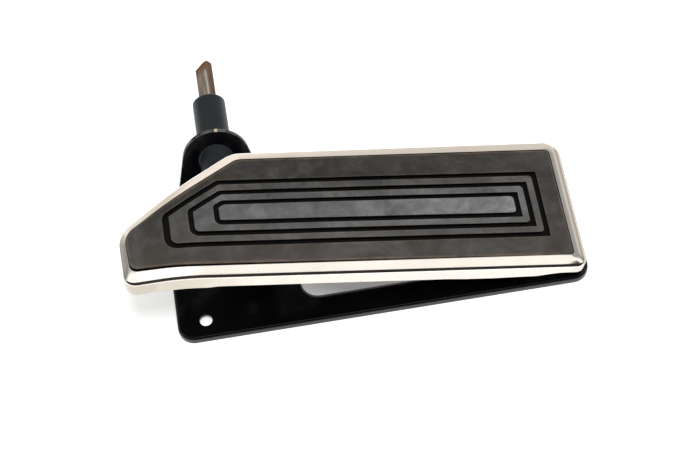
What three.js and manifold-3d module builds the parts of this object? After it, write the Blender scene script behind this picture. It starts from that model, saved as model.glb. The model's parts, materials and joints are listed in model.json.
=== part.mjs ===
// Treadle foot pedal: a polished cast tray with a grooved rubber tread, hinged at the heel on a pressed
// steel base. A slotted yoke under the tray carries the roller of a lever, so pressing the toe turns the
// lever and its cross shaft, whose square end drives the linkage beside the pedal.
// Millimetres. +X runs from toe to heel, +Y from the near side to the square drive, +Z up.
// The origin is at the bottom centre of the whole assembly's bounding box.

import * as THREE from 'three';
import { mergeVertices } from 'three/addons/utils/BufferGeometryUtils.js';
import Module from 'manifold-3d';

const wasm = await Module();
wasm.setup();

// ---- Driving dimensions ------------------------------------------------------------------------------

const GAP = 0.3;                 // space left between pieces that touch
const ROUND = 48;                // facets round the shaft, its bushes and its tube

// Base: pressed sheet with turned-down edges. Its near toe corner is at X = 0, Y = 0 while building.
const BASE = { length: 310, width: 124, height: 6, sheet: 2.5, corner: 12.5, edgeRound: 2 };
const WINDOW = { left: 96, right: 250, near: 22, far: 98, corner: 13 };
const WINDOW_FLARE = [[3, 0.2], [1.5, 1], [0.5, 2.6], [0, 5]];   // depth below the top, distance outwards
const BOLT_HOLE_RADIUS = 4.7;
const BOLT_HOLES = [[21.6, 14.9], [21.6, 92], [259, 15.2], [260, 113]];

// Cross shaft, in a tube welded through an upright lug
const AXIS = { x: 47.4, z: 34 };
const SHAFT = { radius: 6.7, nearEnd: 64, squareStart: 186, farEnd: 229.8, flats: 9.525, squareTurn: 55 };
const WORN_TIP = [                        // one flat worn across the upper ridge and one on the toe side
  { at: [1.2, 219.3, 6.6], turn: [-20, -26.2, 0] },
  { at: [-6.6, 222.8, 1.2], turn: [0, -90, -45] },
];
const TUBE = { radius: 12.7, bore: 9.9, nearEnd: 92, farEnd: 191.4, round: 2 };
const LUG = { sheet: 2.5, lean: 20, front: 124.7, radius: 26, sideSlope: 14, footNear: 102, bend: 3 };
const CRADLE = { near: 82, plate: 98.5, sheet: 2.5, halfWidth: 20, footHalfWidth: 17 };
const BUSH = { length: 15, nearStart: 95, farStart: 168, bore: 6.77 };
const SEAL = { near: 186.5, far: 189.5, bore: 6.95 };
const SPRING = { turns: 9, pitch: 3.6, radius: 8.5, wire: 0.85, start: 120, steps: 10, sides: 5 };

// Heel hinge
const HINGE = { x: 289.5, z: 14, restTilt: 13 };
const HINGE_PIN_RADIUS = 3;
const EYE_RADIUS = 6;
const EAR = { sheet: 3, baseNear: 22, baseFar: 88, leafNear: 26, leafFar: 84 };
const HINGE_FOOT = { reach: 13, toe: 18, heel: 17, corner: 3, earHalf: 8, eyeDrop: 4 };
const HINGE_PIN_END = { beyond: 1.6, head: 5, headDepth: 2.5, groove: 1.4, tip: 3.1 };
const HINGE_WASHER = { outer: 5.2, thickness: 1 };
const LEAF_PLAY = 0.07;

// Lever, its roller, and the yoke under the tray whose slot holds the roller
const LEVER = { arm: 40, angle: 10, plate: 5, plateNear: 72, hubNear: 70, hubFar: 89.9, hubRadius: 13 };
const LEVER_ARM = { root: 9.5, tip: 6.5 };
const TAIL = { reach: 21, radius: 5, root: 8 };
const LEVER_PIN = { radius: 2, y: 84, half: 14 };
const CIRCLIP = { near: 68.2, far: 69.4, groove: 6, outer: 9.3 };
const THRUST = { near: 90.2, far: 91.7, bore: 7, outer: 12 };
const ROLLER = { radius: 6, bore: 3.07, pin: 3, near: 64.6, far: 71.4 };
const YOKE = { near: 65.5, far: 70.5, slotPlay: 0.45, edge: 4, travel: 3, shift: 0.6 };
const YOKE_FOOT = { depth: 26, sheet: 2.2, half: 16 };

// Rubber stops under the lever's arm and tail, pushed into holes of the base
const STOP = { neck: 2.4, head: 4.4, headDepth: 2, flange: 1 };
const DOWN_STOP = { x: AXIS.x + 19, y: LEVER.plateNear + LEVER.plate / 2, top: 15.6, radius: 6 };
const UP_STOP = { x: AXIS.x - TAIL.reach, y: DOWN_STOP.y, top: 24.4, radius: 6.5 };

// Rivets through the base, at [x, y]
const RIVET = { radius: 2.5, hole: 2.8, head: 4.5, underDepth: 1.4, domeHeight: 2.1 };
const LUG_RIVETS = [[18, 112], [37, 112], [57, 112], [76, 112]];
const CRADLE_RIVETS = [[36, 89], [58, 89]];
const HINGE_RIVETS = [[277, 15.5], [301, 15.5], [277, 97.5], [301, 97.5]];
const RIVET_SPOTS = [...LUG_RIVETS, ...CRADLE_RIVETS, ...HINGE_RIVETS];

// Footboard, in its own frame: u along the tray from the hinge, v across, h up from the hinge axis
// Corners [u, v, radius] run from the near heel by the far side to the toe and back along the near edge
const POCKET = [[6, 9.3, 3], [6, 103.8, 4], [-236, 102.5, 14], [-324, 45.4, 14], [-322.5, 14.4, 6],
  [-276, 12, 300]];
const RUBBER = [...POCKET.slice(0, 4), [-322.5, 15.6, 6], [-268, 13.5, 300]];   // shrunk from the near edge
const TRAY = [[15.6, -0.4, 8], [15.6, 113.4, 11], [-238.9, 110.6, 22], [-330, 48.9, 21], [-329, 4.3, 10],
  [-258, 2.9, 300]];
const TREAD_MIDDLE = 56.7;
const CHAMFER_SLOPE = 33;
const TREAD_TOP = 14;
const TREAD_BOTTOM = 9.1;
const RIM_CREST = 12;
const FLOOR = { top: 8.8, bottom: 7 };
const SKIRT = { bottom: -2.6, wall: 2.2, draft: 0.5 };
const SKIRT_EDGE = [[-264, -2.6], [-262, -1.1], [-90, -1.1], [-75, -1.8], [-52, -1.8], [-38, -1.1],
  [-22, -0.8], [-11, 1.8], [-4, 3], [12, 3.2]];
const TUBE_RELIEF = { from: -292, to: -214, near: 64 };
const TOE_BENDS = [-298, -286, -274];
const TRAY_BEND = 4.7;              // degrees at each of the three bends
const TREAD_BEND = 4;
const GROOVE = { depth: 2.4, count: 3, heel: -8.6, toe: -296, shoulder: -252.9 };
const GROOVE_WIDTHS = [4, 3.5, 3.6, 3.8, 3.9];   // heel, far, chamfer, toe and near sides
const GROOVE_SIDES = { nearHeel: 25.9, farHeel: 84, farShoulder: 84.5, nearToe: 28.1 };
const GROOVE_PITCH = { side: 9, farShoulder: 8.8, shoulder: 0.85, toe: 19 };
const FIRST_GROOVE_TOE = 4.8;       // the outermost groove is wider at the toe
const STUDS = [-60, -120, -180, -240];
const STUD = { shank: 2.5, foot: 1.4, head: 6, headHeight: 1.2, hole: 2.8, pocket: 6.6 };
const NUT = { radius: 4.6, height: 4 };
const LEAF = { bottom: 4.7, top: FLOOR.bottom - GAP, heel: 11, toe: -27, inset: 2.7, earHalf: 6 };
const LEAF_SLOT = { half: 8.5, nearReach: 4.8, farReach: 7 };

// ---- Materials ---------------------------------------------------------------------------------------

const finish = (color, roughness, metalness) => () =>
  new THREE.MeshStandardMaterial({ color, roughness, metalness });
const blackPaint = finish(0x0d0e11, 0.35, 0.2);
const tubePaint = finish(0x1c1e21, 0.45, 0.2);
const polished = finish(0xd9d4cc, 0.16, 1.0);
const rubber = finish(0x35312e, 0.7, 0.0);
const wornSteel = finish(0x8b7a6c, 0.5, 0.9);
const zincSteel = finish(0xb4b6ba, 0.38, 0.9);
const bronze = finish(0xa8824a, 0.4, 0.9);
const blackRubber = finish(0x161616, 0.8, 0.0);

// ---- Small tools for solids --------------------------------------------------------------------------

const radians = THREE.MathUtils.degToRad;

function toSolid(geometry) {
  const bare = geometry.index ? geometry.toNonIndexed() : geometry;
  bare.deleteAttribute('normal');
  bare.deleteAttribute('uv');
  const merged = mergeVertices(bare, 1e-4);
  const vertProperties = new Float32Array(merged.attributes.position.array);
  const triVerts = new Uint32Array(merged.index.array);
  const solid = new wasm.Manifold(new wasm.Mesh({ numProp: 3, vertProperties, triVerts }));
  if (solid.volume() > 0) return solid;
  for (let i = 0; i < triVerts.length; i += 3) {
    [triVerts[i + 1], triVerts[i + 2]] = [triVerts[i + 2], triVerts[i + 1]];
  }
  return new wasm.Manifold(new wasm.Mesh({ numProp: 3, vertProperties, triVerts }));
}

function toMesh(name, solid, material) {
  const { vertProperties, triVerts, numProp } = solid.getMesh();
  const positions = new Float32Array((vertProperties.length / numProp) * 3);
  for (let i = 0; i < positions.length / 3; i += 1) {
    for (let k = 0; k < 3; k += 1) positions[3 * i + k] = vertProperties[numProp * i + k];
  }
  const geometry = new THREE.BufferGeometry();
  geometry.setAttribute('position', new THREE.BufferAttribute(positions, 3));
  geometry.setIndex(new THREE.BufferAttribute(new Uint32Array(triVerts), 1));
  geometry.computeVertexNormals();
  const mesh = new THREE.Mesh(geometry, material());
  mesh.name = name;
  return mesh;
}

const joined = (solids) => solids.reduce((sum, solid) => sum.add(solid));
const cut = (solid, tools) => tools.reduce((rest, tool) => rest.subtract(tool), solid);

function box(x0, x1, y0, y1, z0, z1) {
  const geometry = new THREE.BoxGeometry(x1 - x0, y1 - y0, z1 - z0);
  geometry.translate((x0 + x1) / 2, (y0 + y1) / 2, (z0 + z1) / 2);
  return toSolid(geometry);
}

// An outline of corners [x, y, radius] as a loop of points, each corner rounded by an arc
function roundedLoop(corners, steps = 5) {
  const points = [];
  corners.forEach(([x, y, radius = 0], i) => {
    const corner = new THREE.Vector2(x, y);
    if (radius === 0) {
      points.push(corner);
      return;
    }
    const before = new THREE.Vector2(...corners.at(i - 1)).sub(corner).normalize();
    const after = new THREE.Vector2(...corners[(i + 1) % corners.length]).sub(corner).normalize();
    const halfAngle = Math.acos(THREE.MathUtils.clamp(before.dot(after), -1, 1)) / 2;
    const reach = radius / Math.tan(halfAngle);
    const bisector = before.clone().add(after).normalize();
    const centre = corner.clone().addScaledVector(bisector, radius / Math.sin(halfAngle));
    const from = corner.clone().addScaledVector(before, reach).sub(centre);
    const to = corner.clone().addScaledVector(after, reach).sub(centre);
    const sweep = Math.atan2(from.cross(to), from.dot(to));
    for (let k = 0; k <= steps; k += 1) {
      const turned = from.clone().rotateAround(new THREE.Vector2(), (sweep * k) / steps);
      points.push(turned.add(centre));
    }
  });
  return points;
}

// The corners of a convex outline moved inwards by one distance per edge (edge i leaves corner i)
function insetCorners(corners, distances) {
  const count = corners.length;
  const lines = corners.map(([x, y], i) => {
    const [nextX, nextY] = corners[(i + 1) % count];
    const along = new THREE.Vector2(nextX - x, nextY - y).normalize();
    const inward = new THREE.Vector2(-along.y, along.x);
    return { start: new THREE.Vector2(x, y).addScaledVector(inward, distances[i]), along };
  });
  return corners.map(([, , radius = 0], i) => {
    const a = lines[(i + count - 1) % count];
    const b = lines[i];
    const t = b.start.clone().sub(a.start).cross(b.along) / a.along.cross(b.along);
    const corner = a.start.clone().addScaledVector(a.along, t);
    return [corner.x, corner.y, Math.max(radius - distances[i], 0.6)];
  });
}

const evenly = (corners, distance) => corners.map(() => distance);

// A solid standing on Z from one loop of points, with optional holes
function prism(loop, z0, z1, holes = []) {
  const shape = new THREE.Shape(loop);
  shape.holes = holes.map((hole) => new THREE.Path(hole));
  const geometry = new THREE.ExtrudeGeometry(shape, { depth: z1 - z0, bevelEnabled: false });
  geometry.translate(0, 0, z0);
  return toSolid(geometry);
}

// A solid whose outline is drawn in X and Z and which runs along Y
function sideprism(loop, y0, y1) {
  const geometry = new THREE.ExtrudeGeometry(new THREE.Shape(loop), { depth: y1 - y0, bevelEnabled: false });
  geometry.rotateX(Math.PI / 2);
  geometry.translate(0, y1, 0);
  return toSolid(geometry);
}

// A solid skinned over loops of equal length, each at its own height
function loft(levels) {
  const count = levels[0].loop.length;
  const positions = [];
  const index = [];
  levels.forEach(({ loop, z }) => loop.forEach((p) => positions.push(p.x, p.y, z)));
  for (let level = 0; level + 1 < levels.length; level += 1) {
    for (let i = 0; i < count; i += 1) {
      const a = level * count + i;
      const b = level * count + ((i + 1) % count);
      index.push(a, b, b + count, a, b + count, a + count);
    }
  }
  const top = (levels.length - 1) * count;
  THREE.ShapeUtils.triangulateShape(levels[0].loop, []).forEach(([a, b, c]) => index.push(a, c, b));
  THREE.ShapeUtils.triangulateShape(levels.at(-1).loop, [])
    .forEach(([a, b, c]) => index.push(top + a, top + b, top + c));
  const geometry = new THREE.BufferGeometry();
  geometry.setAttribute('position', new THREE.Float32BufferAttribute(positions, 3));
  geometry.setIndex(index);
  return toSolid(geometry);
}

// A solid of revolution about Z from a closed profile of [radius, z]
function turned(profile, segments = 24) {
  const points = profile.map(([radius, z]) => new THREE.Vector2(radius, z));
  if (profile[0][0] > 0 || profile.at(-1)[0] > 0) points.push(points[0].clone());
  return toSolid(new THREE.LatheGeometry(points, segments).rotateX(Math.PI / 2));
}

// The same about a line along Y through x, z, with heights of the profile read as Y
function turnedOnY(profile, x, z, segments = 24) {
  return turned(profile, segments).rotate([-90, 0, 0]).translate([x, 0, z]);
}

const rod = (radius, y0, y1, x, z, segments = 24) =>
  turnedOnY([[0, y0], [radius, y0], [radius, y1], [0, y1]], x, z, segments);
const ring = (inner, outer, y0, y1, x, z, segments = 24) =>
  turnedOnY([[inner, y0], [outer, y0], [outer, y1], [inner, y1]], x, z, segments);
const post = (radius, x, y, z0, z1, segments = 24) =>
  turned([[0, z0], [radius, z0], [radius, z1], [0, z1]], segments).translate([x, y, 0]);

function circleLoop(x, y, radius, segments = 24) {
  return new THREE.Path().absarc(x, y, radius, 0, 2 * Math.PI).getSpacedPoints(segments).slice(0, -1);
}

// ---- Base --------------------------------------------------------------------------------------------

const baseCorners = (inset) => [
  [inset, inset, BASE.corner - inset],
  [BASE.length - inset, inset, BASE.corner - inset],
  [BASE.length - inset, BASE.width - inset, BASE.corner - inset],
  [inset, BASE.width - inset, BASE.corner - inset],
];

const windowCorners = (outset) => [
  [WINDOW.left - outset, WINDOW.near - outset, WINDOW.corner + outset],
  [WINDOW.right + outset, WINDOW.near - outset, WINDOW.corner + outset],
  [WINDOW.right + outset, WINDOW.far + outset, WINDOW.corner + outset],
  [WINDOW.left - outset, WINDOW.far + outset, WINDOW.corner + outset],
];

const SHEET_BOTTOM = BASE.height - BASE.sheet;

function makeBasePlate() {
  const round = BASE.edgeRound;
  const outer = loft([
    { loop: roundedLoop(baseCorners(0)), z: 0 },
    { loop: roundedLoop(baseCorners(0)), z: BASE.height - round },
    { loop: roundedLoop(baseCorners(round * 0.3)), z: BASE.height - round * 0.3 },
    { loop: roundedLoop(baseCorners(round)), z: BASE.height },
  ]);
  const hollow = prism(roundedLoop(baseCorners(BASE.sheet)), -1, SHEET_BOTTOM)
    .subtract(prism(roundedLoop(windowCorners(BASE.sheet)), -2, SHEET_BOTTOM + 1));
  const holes = BOLT_HOLES.map(([x, y]) => post(BOLT_HOLE_RADIUS, x, y, -1, BASE.height + 1, 24));
  RIVET_SPOTS.forEach(([x, y]) => holes.push(post(RIVET.hole, x, y, 0, BASE.height + 1, 12)));
  [DOWN_STOP, UP_STOP].forEach(({ x, y }) => {
    holes.push(post(STOP.neck + GAP, x, y, 0, BASE.height + 1, 16));
  });
  const opening = prism(roundedLoop(windowCorners(0)), -2, BASE.height + 1);
  const flare = loft(WINDOW_FLARE.map(([depth, outset]) => (
    { loop: roundedLoop(windowCorners(outset)), z: BASE.height - depth })));
  return cut(outer, [hollow, opening, flare, ...holes]);
}

function makeRivet([x, y], grip) {
  const under = SHEET_BOTTOM - GAP;
  const over = BASE.height + GAP + grip + GAP;
  const { radius, head, underDepth, domeHeight } = RIVET;
  const profile = [
    [0, under - underDepth], [head, under - 0.7 * underDepth], [head, under], [radius, under],
    [radius, over], [head, over], [head * 0.7, over + 0.7 * domeHeight], [0, over + domeHeight],
  ];
  return turned(profile, 12).translate([x, y, 0]);
}

function makeStop({ x, y, top, radius }) {
  const sole = BASE.height + GAP;
  const under = SHEET_BOTTOM - GAP;
  const profile = [
    [0, under - STOP.headDepth], [0.9 * STOP.head, under - 0.7 * STOP.headDepth], [STOP.head, under],
    [STOP.neck, under], [STOP.neck, sole], [radius + STOP.flange, sole],
    [radius + STOP.flange, sole + 1.5 * STOP.flange], [radius, sole + 2.5 * STOP.flange],
    [radius - 1, top - 1], [radius - 2, top], [0, top],
  ];
  return turned(profile, 16).translate([x, y, 0]);
}

// ---- Lug, cradle and tube ----------------------------------------------------------------------------

const lean = Math.tan(radians(LUG.lean));
const FOOT = { bottom: BASE.height + GAP, top: BASE.height + GAP + LUG.sheet };

function makeLug() {
  const back = LUG.front + LUG.sheet / Math.cos(radians(LUG.lean));
  const top = AXIS.z + LUG.radius * Math.cos(radians(LUG.lean)) + 2;
  const section = roundedLoop([
    [LUG.footNear, FOOT.bottom],
    [back + FOOT.bottom * lean, FOOT.bottom, LUG.bend + LUG.sheet],
    [back + top * lean, top],
    [LUG.front + top * lean, top],
    [LUG.front + FOOT.top * lean, FOOT.top, LUG.bend],
    [LUG.footNear, FOOT.top],
  ], 5);
  const halfWidth = LUG.radius + 20;
  const run = { depth: 2 * halfWidth, bevelEnabled: false };
  const strip = new THREE.ExtrudeGeometry(new THREE.Shape(section), run);
  strip.rotateX(Math.PI / 2).rotateZ(Math.PI / 2);
  strip.translate(AXIS.x - halfWidth, 0, 0);

  const slope = radians(LUG.sideSlope);
  const squash = Math.cos(radians(LUG.lean));
  const steps = 20;
  const outline = [];
  for (let k = 0; k <= steps; k += 1) {
    const angle = slope + ((Math.PI - 2 * slope) * k) / steps;
    outline.push(new THREE.Vector2(
      AXIS.x + LUG.radius * Math.cos(angle),
      AXIS.z + LUG.radius * squash * Math.sin(angle),
    ));
  }
  const tangent = outline[0];
  const footX = tangent.x + ((tangent.y - FOOT.bottom) / squash) * Math.tan(slope);
  outline.unshift(new THREE.Vector2(footX, 0), new THREE.Vector2(footX, FOOT.bottom));
  outline.push(new THREE.Vector2(2 * AXIS.x - footX, FOOT.bottom), new THREE.Vector2(2 * AXIS.x - footX, 0));
  const face = sideprism(outline, 0, 200);
  const holes = LUG_RIVETS.map(([x, y]) => post(RIVET.hole, x, y, 0, 12, 12));
  const bore = rod(TUBE.radius + GAP, 100, 180, AXIS.x, AXIS.z, ROUND);
  return cut(toSolid(strip).intersect(face), [bore, ...holes]);
}

function makeCradle() {
  const plateNear = CRADLE.plate - CRADLE.sheet;
  const plate = box(AXIS.x - CRADLE.halfWidth, AXIS.x + CRADLE.halfWidth, plateNear, CRADLE.plate,
    FOOT.bottom, AXIS.z);
  const foot = box(AXIS.x - CRADLE.footHalfWidth, AXIS.x + CRADLE.footHalfWidth, CRADLE.near, CRADLE.plate,
    FOOT.bottom, FOOT.bottom + CRADLE.sheet);
  const holes = CRADLE_RIVETS.map(([x, y]) => post(RIVET.hole, x, y, 0, 12, 12));
  return cut(plate.add(foot), [rod(TUBE.radius + GAP, 80, 120, AXIS.x, AXIS.z, ROUND), ...holes]);
}

function makeTube() {
  const { radius, bore, nearEnd, farEnd, round } = TUBE;
  return turnedOnY([
    [bore, nearEnd], [radius - 0.6, nearEnd], [radius, nearEnd + 0.6], [radius, farEnd - round],
    [radius - round * 0.3, farEnd - round * 0.3], [radius - round, farEnd], [bore, farEnd],
  ], AXIS.x, AXIS.z, ROUND);
}

const makeBush = (start) =>
  ring(BUSH.bore, TUBE.bore - GAP, start, start + BUSH.length, AXIS.x, AXIS.z, ROUND);

// Torsion spring round the shaft between the two bushes: close turns with two straight tangs along Y
function makeSpring() {
  const { turns, pitch, radius, wire, start, steps, sides } = SPRING;
  const path = [];
  for (let k = 0; k <= turns * steps; k += 1) {
    const angle = (2 * Math.PI * k) / steps;
    path.push(new THREE.Vector3(
      AXIS.x + radius * Math.cos(angle), start + (pitch * k) / steps, AXIS.z + radius * Math.sin(angle),
    ));
  }
  const curve = new THREE.CatmullRomCurve3(path);
  const section = new THREE.Shape(circleLoop(0, 0, wire, sides));
  return toSolid(new THREE.ExtrudeGeometry(section, { steps: turns * steps, extrudePath: curve }));
}

// ---- Shaft and lever ---------------------------------------------------------------------------------

function makeShaft() {
  const { radius, nearEnd, squareStart, farEnd, flats, squareTurn } = SHAFT;
  const round = turnedOnY([
    [0, nearEnd], [radius - 0.8, nearEnd], [radius, nearEnd + 0.8],
    [radius, CIRCLIP.near - 0.2], [CIRCLIP.groove, CIRCLIP.near - 0.2],
    [CIRCLIP.groove, CIRCLIP.far + 0.2], [radius, CIRCLIP.far + 0.2],
    [radius, farEnd - 0.7], [radius - 0.7, farEnd], [0, farEnd],
  ], 0, 0, ROUND);
  const half = flats / 2;
  const square = box(-half, half, squareStart, farEnd + 1, -half, half).rotate([0, squareTurn, 0]);
  const body = round.intersect(box(-20, 20, 0, squareStart, -20, 20)).add(round.intersect(square));
  const worn = WORN_TIP.map(({ at, turn }) => box(-20, 20, -20, 20, 0, 20).rotate(turn).translate(at));
  const crossHole = post(LEVER_PIN.radius + GAP, 0, LEVER_PIN.y, -10, 10, 16);
  return cut(body, [...worn, crossHole]).translate([AXIS.x, 0, AXIS.z]);
}

// Two round ends joined by straight flanks, in X and Z
function barLoop(from, fromRadius, to, toRadius, steps = 10) {
  const along = Math.atan2(to[1] - from[1], to[0] - from[0]);
  const length = Math.hypot(to[0] - from[0], to[1] - from[1]);
  const halfTurn = Math.PI / 2 - Math.asin((fromRadius - toRadius) / length);
  const arc = ([x, z], radius, start, sweep) => Array.from({ length: steps + 1 }, (_, k) => {
    const angle = start + (sweep * k) / steps;
    return new THREE.Vector2(x + radius * Math.cos(angle), z + radius * Math.sin(angle));
  });
  return [
    ...arc(to, toRadius, along - halfTurn, 2 * halfTurn),
    ...arc(from, fromRadius, along + halfTurn, 2 * (Math.PI - halfTurn)),
  ];
}

function makeLever() {
  const { arm, angle, plate, plateNear, hubNear, hubFar, hubRadius } = LEVER;
  const hub = rod(hubRadius, hubNear, hubFar, 0, 0, ROUND);
  const armLoop = barLoop([0, 0], LEVER_ARM.root, [arm, 0], LEVER_ARM.tip);
  const tailLoop = barLoop([0, 0], TAIL.root, [-TAIL.reach, 0], TAIL.radius);
  const armPlate = sideprism(armLoop, plateNear, plateNear + plate);
  const tail = sideprism(tailLoop, plateNear, plateNear + plate);
  const shaftBore = rod(SHAFT.radius + GAP, 0, 120, 0, 0, ROUND);
  const pinBore = rod(ROLLER.pin + GAP, 0, 120, arm, 0, 24);
  const crossHole = post(LEVER_PIN.radius + GAP, 0, LEVER_PIN.y, -20, 20, 16);
  return cut(joined([hub, armPlate, tail]), [shaftBore, pinBore])
    .rotate([0, -angle, 0])
    .subtract(crossHole)
    .translate([AXIS.x, 0, AXIS.z]);
}

function makeLeverPin() {
  const { radius, y, half } = LEVER_PIN;
  return turned([
    [0, -half], [radius - 0.5, -half], [radius, 0.5 - half],
    [radius, half - 0.5], [radius - 0.5, half], [0, half],
  ], 16).translate([AXIS.x, y, AXIS.z]);
}

// A snap ring with a mouth at its bottom
function snapRing(inner, outer, y0, y1, x, z) {
  const mouth = box(x - inner * 0.55, x + inner * 0.55, y0 - 1, y1 + 1, z - outer - 1, z);
  return ring(inner, outer, y0, y1, x, z, 20).subtract(mouth);
}

// ---- Roller at the lever's tip -----------------------------------------------------------------------

const leverTip = {
  x: AXIS.x + LEVER.arm * Math.cos(radians(LEVER.angle)),
  z: AXIS.z + LEVER.arm * Math.sin(radians(LEVER.angle)),
};
const tilt = radians(HINGE.restTilt);
const armFar = LEVER.plateNear + LEVER.plate;

function makeRoller() {
  const { radius, bore, near, far } = ROLLER;
  return turnedOnY([
    [bore, near], [radius - 0.5, near], [radius, near + 0.5],
    [radius, far - 0.5], [radius - 0.5, far], [bore, far],
  ], leverTip.x, leverTip.z, 24);
}

function makeRollerPin() {
  const { pin, near } = ROLLER;
  const head = near - GAP;
  const groove = armFar + 0.5;
  return turnedOnY([
    [0, head - 2], [4, head - 2], [4.5, head - 1.5], [4.5, head], [pin, head],
    [pin, groove], [pin - 0.6, groove], [pin - 0.6, groove + 1.4], [pin, groove + 1.4],
    [pin, groove + 2.6], [pin - 0.5, groove + 3.1], [0, groove + 3.1],
  ], leverTip.x, leverTip.z, 24);
}

const makeRollerClip = () =>
  snapRing(ROLLER.pin - 0.3, ROLLER.pin + 2, armFar + 0.7, armFar + 1.7, leverTip.x, leverTip.z);

// ---- Hinge parts on the base -------------------------------------------------------------------------

function makeHingeBracket(earNear, outward) {
  const { reach, toe, heel, corner, earHalf, eyeDrop } = HINGE_FOOT;
  const earFar = earNear + EAR.sheet;
  const footNear = outward < 0 ? earNear - reach : earNear;
  const footFar = outward < 0 ? earFar : earFar + reach;
  const shape = barLoop([HINGE.x, HINGE.z - eyeDrop], earHalf, [HINGE.x, HINGE.z], EYE_RADIUS);
  const ear = sideprism(shape, earNear, earFar)
    .add(box(HINGE.x - earHalf, HINGE.x + earHalf, earNear, earFar, FOOT.bottom, HINGE.z - eyeDrop))
    .intersect(box(0, 400, 0, 200, FOOT.bottom, 60));
  const foot = prism(roundedLoop([
    [HINGE.x - toe, footNear, corner], [HINGE.x + heel, footNear, corner],
    [HINGE.x + heel, footFar, corner], [HINGE.x - toe, footFar, corner],
  ], 4), FOOT.bottom, FOOT.top);
  const holes = HINGE_RIVETS.map(([x, y]) => post(RIVET.hole, x, y, 0, 12, 12));
  return cut(ear.add(foot), [rod(HINGE_PIN_RADIUS + GAP, 0, 120, HINGE.x, HINGE.z, 24), ...holes]);
}

const pinStart = EAR.baseNear - HINGE_PIN_END.beyond;
const pinEnd = EAR.baseFar + EAR.sheet + HINGE_PIN_END.beyond;

function makeHingePin() {
  const { head, headDepth, groove, tip } = HINGE_PIN_END;
  const radius = HINGE_PIN_RADIUS;
  return turnedOnY([
    [0, pinStart - headDepth], [head - 0.6, pinStart - headDepth], [head, pinStart - headDepth + 0.6],
    [head, pinStart], [radius, pinStart], [radius, pinEnd], [radius - 0.6, pinEnd],
    [radius - 0.6, pinEnd + groove], [radius, pinEnd + groove], [radius, pinEnd + tip - 0.5],
    [radius - 0.5, pinEnd + tip], [0, pinEnd + tip],
  ], HINGE.x, HINGE.z, 24);
}

const hingeWasher = (start) => ring(HINGE_PIN_RADIUS + GAP, HINGE_WASHER.outer, start,
  start + HINGE_WASHER.thickness, HINGE.x, HINGE.z, 24);

// ---- Footboard: drawn flat in u, v, h, then bent down at the toe --------------------------------------

const chamferRun = Math.tan(radians(CHAMFER_SLOPE));

const offsetLoop = (corners, inset) => roundedLoop(insetCorners(corners, evenly(corners, inset)), 5);
const pocketLoop = (outset) => offsetLoop(POCKET, -outset);
const trayLoop = (inset) => offsetLoop(TRAY, inset);
const treadLoop = (inset) => offsetLoop(RUBBER, inset);

// Turns the toe down in small steps about the tread's top edge. Material that the turn pushes into the
// space kept clear is taken away again.
function bendToe(solid, degrees, clear) {
  return TOE_BENDS.reduce((rest, at) => {
    const main = rest.intersect(box(at, 100, -50, 200, -30, 60));
    const toe = rest.intersect(box(-400, at, -50, 200, -60, 60))
      .translate([-at, 0, -TREAD_TOP])
      .rotate([0, -degrees, 0])
      .translate([at, 0, TREAD_TOP]);
    const sum = main.add(toe);
    return clear ? sum.subtract(clear.intersect(box(at, 100, -50, 200, -30, 60))) : sum;
  }, solid);
}

function makeTray() {
  const { bottom, wall, draft } = SKIRT;
  const outer = loft([
    { loop: trayLoop(-draft), z: bottom },
    { loop: trayLoop(0), z: RIM_CREST - 1.8 },
    { loop: trayLoop(0.3), z: RIM_CREST - 0.9 },
    { loop: trayLoop(0.9), z: RIM_CREST - 0.2 },
    { loop: trayLoop(1.9), z: RIM_CREST + 0.3 },
    { loop: pocketLoop(0.4), z: TREAD_TOP },
  ]);
  const pocket = prism(pocketLoop(0.4), FLOOR.top, TREAD_TOP + 5);
  const cavity = prism(trayLoop(wall), bottom - 1, FLOOR.bottom);
  const under = [[-264, bottom - 5], ...SKIRT_EDGE, [40, 6], [40, bottom - 5]];
  const edgeRelief = sideprism(under.map(([u, h]) => new THREE.Vector2(u, h)), -10, 130);
  const { from, to, near } = TUBE_RELIEF;
  const tubeRelief = box(from, to, near, 130, bottom - 1, FLOOR.bottom);
  const studHoles = STUDS.map((u) => post(STUD.hole, u, TREAD_MIDDLE, 0, 12, 16));
  const flat = cut(outer, [pocket, cavity, edgeRelief, tubeRelief, ...studHoles]);
  return bendToe(flat, TRAY_BEND, pocket);
}

// One groove: a ring between two nested outlines that follow the tread
function grooveRing(k) {
  const heel = GROOVE.heel - GROOVE_PITCH.side * k;
  const toe = GROOVE.toe + GROOVE_PITCH.toe * k;
  const shoulder = GROOVE.shoulder + GROOVE_PITCH.shoulder * k;
  const far = GROOVE_SIDES.farShoulder - GROOVE_PITCH.farShoulder * k;
  const outline = [
    [heel, GROOVE_SIDES.nearHeel + GROOVE_PITCH.side * k, 0.5],
    [heel, GROOVE_SIDES.farHeel - GROOVE_PITCH.side * k, 0.5],
    [shoulder, far, 8],
    [toe, far - (shoulder - toe) * chamferRun, 7 - 2 * k],
    [toe, GROOVE_SIDES.nearToe + GROOVE_PITCH.side * k, 9 - 2 * k],
  ];
  const widths = [...GROOVE_WIDTHS];
  if (k === 0) widths[3] = FIRST_GROOVE_TOE;
  const inner = insetCorners(outline, widths);
  inner[0][2] = 3;
  inner[1][2] = 3;
  const floor = TREAD_TOP - GROOVE.depth;
  const outside = prism(roundedLoop(outline, 5), floor, TREAD_TOP + 1);
  return outside.subtract(prism(roundedLoop(inner, 5), floor - 1, TREAD_TOP + 2));
}

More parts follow.
